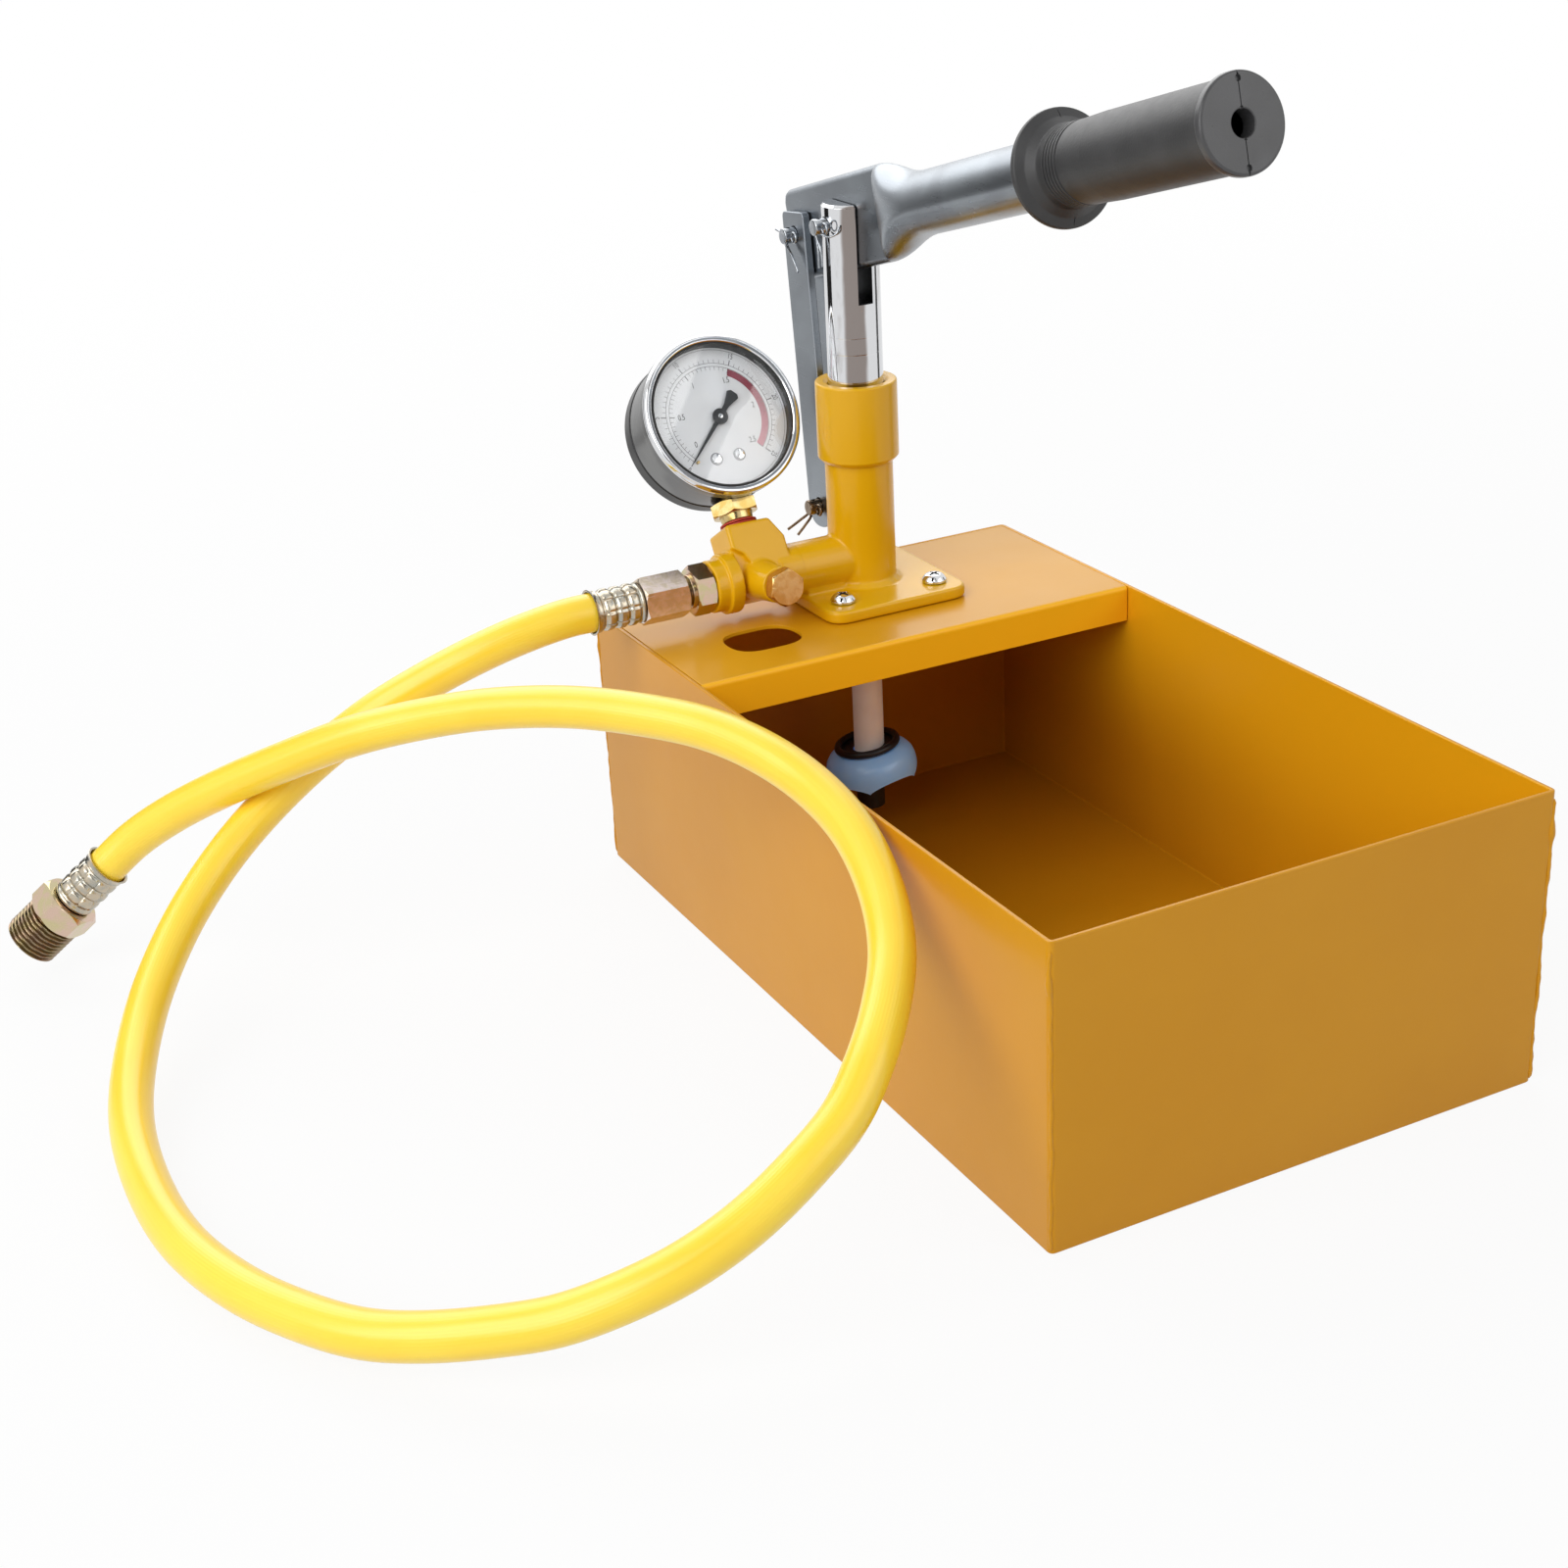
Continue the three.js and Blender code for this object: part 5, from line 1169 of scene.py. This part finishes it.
# Gauge stem and its washers
stem_hex = hex_bar("stem_hex", 17, *STEM_HEX, 0.7, stem_frame, 0.1)
stem_outline = [
    (STEM_BORE, 12), (5.7, 12), (5.7, 20), (5.2, 20.6), (6.1, 22.6, 0.4), (6.5, 25), (6.5, 29.8, 0.4),
    (4.5, 29.8), (4.5, 36), (STEM_BORE, 36),
]
stem = gathered("gauge_stem_piece", [stem_hex, turned("stem", stem_outline, stem_frame)])
fitted(stem, "pump", brass, "gauge_stem")
fitted(ring("lower_washer", 6, 7.3, 20.3, 21, stem_frame, 0.2), "pump", fibre, "gauge_washer_lower")
fitted(ring("upper_washer", 6, 7.1, 21.3, 22, stem_frame, 0.2), "pump", fibre, "gauge_washer_upper")

# Gauge head: the dial's centre is zero, local +Z faces the reader and local +Y is up the dial
CASE, CASE_BACK, LINING = 29.3, -11.6, 27.8
DIAL, START_DEGREES = 10.2, 225
stem_way = dial_frame @ turn_about("X", 90)
case_outline = [
    (0, CASE_BACK), (CASE, CASE_BACK, 1.4), (CASE, -5.5), (30.2, -5.4, 0.2), (30.2, 8.4, 0.3), (CASE, 8.6),
    (CASE, 11.8, 0.3), (LINING, 11.8), (LINING, -10.1), (0, -10.1),
]
case = turned("gauge_case_piece", case_outline, dial_frame, 128)
cut(case, rod(STEM_HOLE, 20, 40, stem_way))
fitted(case, "pump", satin_steel, "gauge_case")
rear_band = ring("gauge_rear_ring", 29.6, 30.5, CASE_BACK, -5.6, dial_frame, 0.5, 128)
cut(rear_band, rod(STEM_HOLE, 20, 40, stem_way))
fitted(rear_band, "pump", black_paint, "gauge_rear_band")
skirt = ring("gauge_bezel_skirt", 29.6, 31.3, 9, 12.9, dial_frame, 0.4, 160)
fitted(skirt, "pump", satin_steel)
bezel_outline = [
    (29.6, 12.9), (31.4, 12.9, 0.3), (31.4, 14, 0.9), (30.4, 15.5, 1.2), (28.7, 15.2, 0.5),
    (28.15, 14.7, 0.3), (28.15, 14), (29.6, 14),
]
fitted(turned("gauge_bezel_piece", bezel_outline, dial_frame, 160), "pump", chrome, "gauge_bezel")
fitted(ring("gauge_gasket", 27.5, 28.1, 12, 15, dial_frame, 0.1, 128), "pump", black_rubber)
fitted(ring("gauge_case_lining", 27.5, 27.78, 10.3, 12, dial_frame, 0.05, 128), "pump", black_rubber)
window_outline = [(0, 12.1), (CASE, 12.1, 0.2), (CASE, 13.8, 0.2), (0, 13.8)]
fitted(turned("gauge_window_piece", window_outline, dial_frame, 128), "pump", glass, "gauge_window")
card = turned("dial_card", [(0, 9.6), (27.4, 9.6), (27.4, DIAL, 0.1), (0, DIAL)], dial_frame, 128)
cut(card, rod(1.2, 8, 12, dial_frame, 32))
fitted(card, "pump", dial_face, "gauge_dial")

# Print on the dial: plain numbers and marks only
PRINT_LOW, PRINT_HIGH = DIAL + 0.01, DIAL + 0.05
SWEEP, SCALE_START = radians(270), radians(START_DEGREES)
RIM_NUMBERS = 20


def arc(name, inner, outer, first=0, last=1):
    """A thin flat band on the dial, from one share of the scale to another."""
    steps, outline = 120, []
    for radius, order in ((inner, range(steps + 1)), (outer, range(steps, -1, -1))):
        for k in order:
            angle = SCALE_START - SWEEP * (first + (last - first) * k / steps)
            outline.append((radius * cos(angle), radius * sin(angle)))
    return prism(name, outline, PRINT_LOW, PRINT_HIGH, dial_frame)


def marks(name, count, inner, outer, width):
    """Graduation marks all along the scale."""
    bar = box(0, (outer - inner) * MM, -width / 2 * MM, width / 2 * MM, 0, (PRINT_HIGH - PRINT_LOW) * MM)
    bar.data.transform(Matrix.Scale(1 / MM, 4))
    sizes = {"Count": count, "Radius": inner * MM, "Start": SCALE_START, "Step": -SWEEP / (count - 1)}
    return repeated(name, spin, bar, black_ink, dial_frame @ move(0, 0, PRINT_LOW), sizes)


def number(text, radius, share, size):
    """A plain number on the dial at a share of the scale. Near the rim it leans with the scale."""
    curve = bpy.data.curves.new("number", "FONT")
    curve.body = text
    curve.size = size * MM
    curve.extrude = (PRINT_HIGH - PRINT_LOW) / 2 * MM
    curve.align_x = "CENTER"
    curve.align_y = "CENTER"
    curve.resolution_u = 3
    written = placed("number", curve)
    mesh = worked(written)
    bpy.data.objects.remove(written)
    angle = SCALE_START - SWEEP * share
    lean = angle - TURN / 4 if radius > RIM_NUMBERS else 0
    middle = (PRINT_LOW + PRINT_HIGH) / 2
    place = dial_frame @ move(radius * cos(angle), radius * sin(angle), middle)
    place = place @ Matrix.Rotation(lean, 4, "Z")
    place.translation *= MM
    mesh.transform(place @ Matrix.Diagonal((0.72, 1, 1, 1)))
    return placed("number", mesh)


def rim_line(inner, outer, place=dial_frame):
    """A thin printed circle."""
    outline = [(inner, PRINT_LOW), (outer, PRINT_LOW), (outer, PRINT_HIGH), (inner, PRINT_HIGH)]
    return turned("rim_line", outline, place, 160)


printed = [
    arc("arc", 19.9, 20.05),
    arc("arc", 21.2, 21.35),
    marks("fine", 51, 21.3, 22.7, 0.14),
    marks("bold", 6, 21.3, 23.5, 0.34),
    marks("fine", 51, 18.6, 20, 0.14),
    marks("bold", 6, 17.9, 20, 0.34),
]
printed += [number(str(5 * i), 25, i / 5, 3.1) for i in range(6)]
inner_shares = [0.035, 0.2, 0.4, 0.6, 0.8, 1]
printed += [number("%g" % (i / 2), 15.2, share, 3.3) for i, share in enumerate(inner_shares)]
printed.append(rim_line(26.5, 26.62))
fitted(gathered("dial_print", printed), "pump", black_ink)
fitted(arc("dial_band", 17.1, 19.8, 0.6, 1), "pump", red_ink)

dial_screw_outline = [(0, 4), (0.6, 4), (0.6, 10.5), (1.9, 10.5, 0.1), (1.9, 11, 0.5), (0, 11.25)]
for i, (x, y) in enumerate(((-5.8, -15.6), (3.8, -15.4)), 1):
    place = dial_frame @ move(x, y, 0)
    head = turned("dial_screw", dial_screw_outline, place, 32)
    cut(head, box(-2, 2, -0.22, 0.22, 10.8, 12, place @ turn_about("Z", 40 * i)))
    fitted(head, "pump", chrome, "dial_screw_%d" % i)
    fitted(rim_line(2.15, 2.4, place), "pump", black_ink)
STOP_RADIUS, STOP_ANGLE = 21, radians(228.5)
stop_place = dial_frame @ move(STOP_RADIUS * cos(STOP_ANGLE), STOP_RADIUS * sin(STOP_ANGLE), 0)
stop = turned("stop_peg", [(0, 10.3), (0.55, 10.3), (0.55, 11.8, 0.2), (0, 11.8)], stop_place, 24)
fitted(stop, "pump", brass, "dial_stop_pin")


def pointer_piece():
    """The hand with its round tail, the hub on it and the arbor under it."""
    low = DIAL + 0.8
    edge = [(0, 0.95), (-5.2, 1.05), (-8.4, 1.9), (-10.4, 2.6, 0.4), (-11.6, 1.5, 0.6)]
    other_edge = [(x, -y, *radius) for x, y, *radius in reversed(edge)]
    hub = [(0, low), (3.1, low, 0.2), (3.1, low + 0.8, 0.3), (1.4, low + 0.9, 0.2), (0, low + 0.9)]
    hand_frame = dial_frame @ turn_about("Z", START_DEGREES)
    hand = [(21.9, -0.2), (21.9, 0.2), *edge, *other_edge]
    pointer = prism("pointer", hand, low, low + 0.5, hand_frame)
    joined(pointer, turned("hub", hub, hand_frame, 48), rod(0.8, low - 7.4, low + 0.3, hand_frame, 24))
    return bevelled(pointer, 0.08, 1)


fitted(pointer_piece(), "pointer", black_paint, "gauge_pointer")
peg = turned("pointer_peg", [(0, 11.85), (0.9, 11.85, 0.1), (0.9, 12.0, 0.1), (0, 12.02)], dial_frame, 32)
fitted(peg, "pointer", chrome)

# Suction tube, foot, strainer cup and its ring
SUCTION_BORE, SUCTION_RADIUS = 4, 6
suction = ring("suction_hose", SUCTION_BORE, SUCTION_RADIUS, 28.8, 110.7, column_frame, 0.5)
fitted(suction, "pump", tube_plastic, "suction_tube")
foot_outline = [
    (2.2, 12), (5.6, 12, 0.5), (5.6, 26), (8, 26, 0.6), (8, 28.5, 0.6), (3.7, 28.5), (3.7, 37), (2.2, 37),
]
fitted(turned("suction_foot_piece", foot_outline, column_frame), "pump", black_rubber, "suction_foot")
CUP_LEAN, CUP_PIVOT = radians(9), 33
lean_axis = Vector((-0.44, -0.9, 0)).normalized()
cup_turn = column_frame @ move(0, 0, CUP_PIVOT) @ Matrix.Rotation(CUP_LEAN, 4, lean_axis)
cup_frame = cup_turn @ move(0, 0, -CUP_PIVOT)


def strainer():
    """A domed cup with a soft lip: its skirt is cut into five arches that leave pointed teeth."""
    radius, wall, top, low = 18.3, 1.3, 36.9, 23
    arches, phase, deep, half_wide, steps = 5, 0.22, 4, 10.6, 24
    dome_shares = [(0.955, 0), (0.985, 0.16), (1, 0.36), (0.995, 0.54), (0.96, 0.72), (0.88, 0.87), (0.73, 1)]
    outer = [(radius * r, low + (top - low) * h) for r, h in dome_shares]
    inner = [(radius * r - wall, low + (top - low) * h) for r, h in dome_shares]
    cup = turned("strainer", outer + inner[::-1], cup_frame, 128)
    joined(cup, ring("web", 6.8, 17.6, 30.3, 31.8, cup_frame))
    half_circle = [pi * k / steps for k in range(steps + 1)]
    outline = [(-deep * sin(a), half_wide * cos(a)) for a in half_circle]
    outline = [(0.5, half_wide), *outline[1:-1], (0.5, -half_wide), (8, -12), (8, 12)]
    notches = []
    for i in range(arches):
        arch_frame = cup_frame @ turn_about("Z", 360 * (i - phase) / arches) @ move(1.4, 0, low)
        notches.append(prism("notch", outline, 0, 30, arch_frame @ turn_about("Y", 90)))
    cut(cup, *notches)
    return bevelled(cup, 0.3, 3, 40)


fitted(strainer(), "pump", strainer_plastic, "strainer_cup")
O_RING, O_RING_Z, CORD = 11.85, 38.7, 1.5
o_ring_outline = [(O_RING + x, O_RING_Z + y) for x, y, _ in circle(CORD, 20)]
fitted(turned("strainer_o_ring", o_ring_outline, cup_frame, 96), "pump", black_rubber, "strainer_ring")
fitted(ring("strainer_lip", 5.9, 11.4, 37.2, 37.7, cup_frame, 0.1), "pump", black_rubber)

# What is left as it is from the frame gets its finish
kept_finishes = {
    "gland_packing": black_rubber, "guide_bush": brass, "gauge_movement": brass, "bourdon_tube": brass,
    "suction_ball": steel, "outlet_ball": steel,
}
for name, finish in kept_finishes.items():
    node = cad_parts[name]
    node.data.materials.clear()
    node.data.materials.append(finish.material)


# Floor, world and lamps
def seen_directly(graph):
    """1 for the camera and for what mirrors and glass show, and 0 for the light that lands on things."""
    path = graph.node("ShaderNodeLightPath")
    seen = graph.maths("MAXIMUM", path.output("Is Camera Ray"), path.output("Is Glossy Ray"))
    return graph.maths("MAXIMUM", seen, path.output("Is Transmission Ray"))


def floor_finish():
    """A white floor that keeps the object's shadow, and stays white for the camera and for reflections."""
    material = bpy.data.materials.new("floor")
    material.use_nodes = True
    graph = Graph(material.node_tree)
    material.node_tree.nodes.remove(material.node_tree.nodes["Principled BSDF"])
    matte = graph.node("ShaderNodeBsdfDiffuse", {}, {"Color": (0.72, 0.72, 0.72, 1)})
    white = graph.node("ShaderNodeEmission", {}, {"Color": WHITE, "Strength": 1})
    place = graph.node("ShaderNodeTexCoord", output="Object")
    away = graph.node("ShaderNodeVectorMath", {"operation": "LENGTH"}, {0: place}, "Value")
    share = 0.91 + 0.09 * graph.step(away, 0.4, 1.6)
    shader = graph.node("ShaderNodeMixShader", {}, {0: share * seen_directly(graph), 1: matte, 2: white})
    graph.put(material.node_tree.nodes["Material Output"].inputs["Surface"], shader)
    return material


def sheet_of(width, height):
    """Points and the face of a flat sheet about the origin."""
    w, h = width / 2, height / 2
    return [(-w, -h, 0), (w, -h, 0), (w, h, 0), (-w, h, 0)], [(0, 1, 2, 3)]


FLOOR_SIZE, FLOOR_Z = 24000, -0.05
floor = piece_from("floor", *sheet_of(FLOOR_SIZE, FLOOR_SIZE), move(0, 0, FLOOR_Z))
floor.data.materials.append(floor_finish())

world = bpy.data.worlds.new("studio")
bpy.context.scene.world = world
world.use_nodes = True
sky = Graph(world.node_tree)
background = world.node_tree.nodes["Background"]
sky.put(background.inputs["Color"], WHITE)
sky.put(background.inputs["Strength"], 0.36 + 0.64 * seen_directly(sky))


def lamp(name, place, target, width, height, watts):
    """A soft rectangular lamp. Its place and its sizes are in metres."""
    data = bpy.data.lights.new(name, "AREA")
    data.shape = "RECTANGLE"
    data.size = width
    data.size_y = height
    data.energy = watts
    placed(name, data).matrix_world = facing(place, target)


lamp("key", (-1.5, -0.55, 1.25), (0, 0, 0.1), 2, 1.6, 30)
lamp("fill", (1, -1.4, 1.1), (0, 0, 0.1), 1.4, 1.2, 7)
lamp("back", (0.1, 1.35, 1.25), (0, 0.1, 0.1), 2.2, 1.4, 19)


def flag(name, place, target, width, height, tone=0.01):
    """A dark card that only mirrors see, for the dark lines in polished metal."""
    material = bpy.data.materials.new(name)
    material.use_nodes = True
    shader = material.node_tree.nodes["Principled BSDF"]
    shader.inputs["Base Color"].default_value = (tone, tone, tone, 1)
    shader.inputs["Roughness"].default_value = 1
    card = piece_from(name, *sheet_of(width, height), facing(place, target))
    card.data.materials.append(material)
    card.visible_camera = False
    card.visible_diffuse = False
    card.visible_shadow = False
    card.visible_transmission = False


# Cards, in millimetres
ROD_MIDDLE, GAUGE_MIDDLE = (5, 123, 180), (-41, 140, 175)
flag("flag_behind", (-400, 520, 100), ROD_MIDDLE, 300, 700)
flag("flag_beside", (480, 60, 100), ROD_MIDDLE, 110, 500, 0.1)
flag("flag_by_camera", (-420, -580, 520), GAUGE_MIDDLE, 330, 420)
flag("flag_over_camera", (-390, -200, 900), GAUGE_MIDDLE, 330, 600)
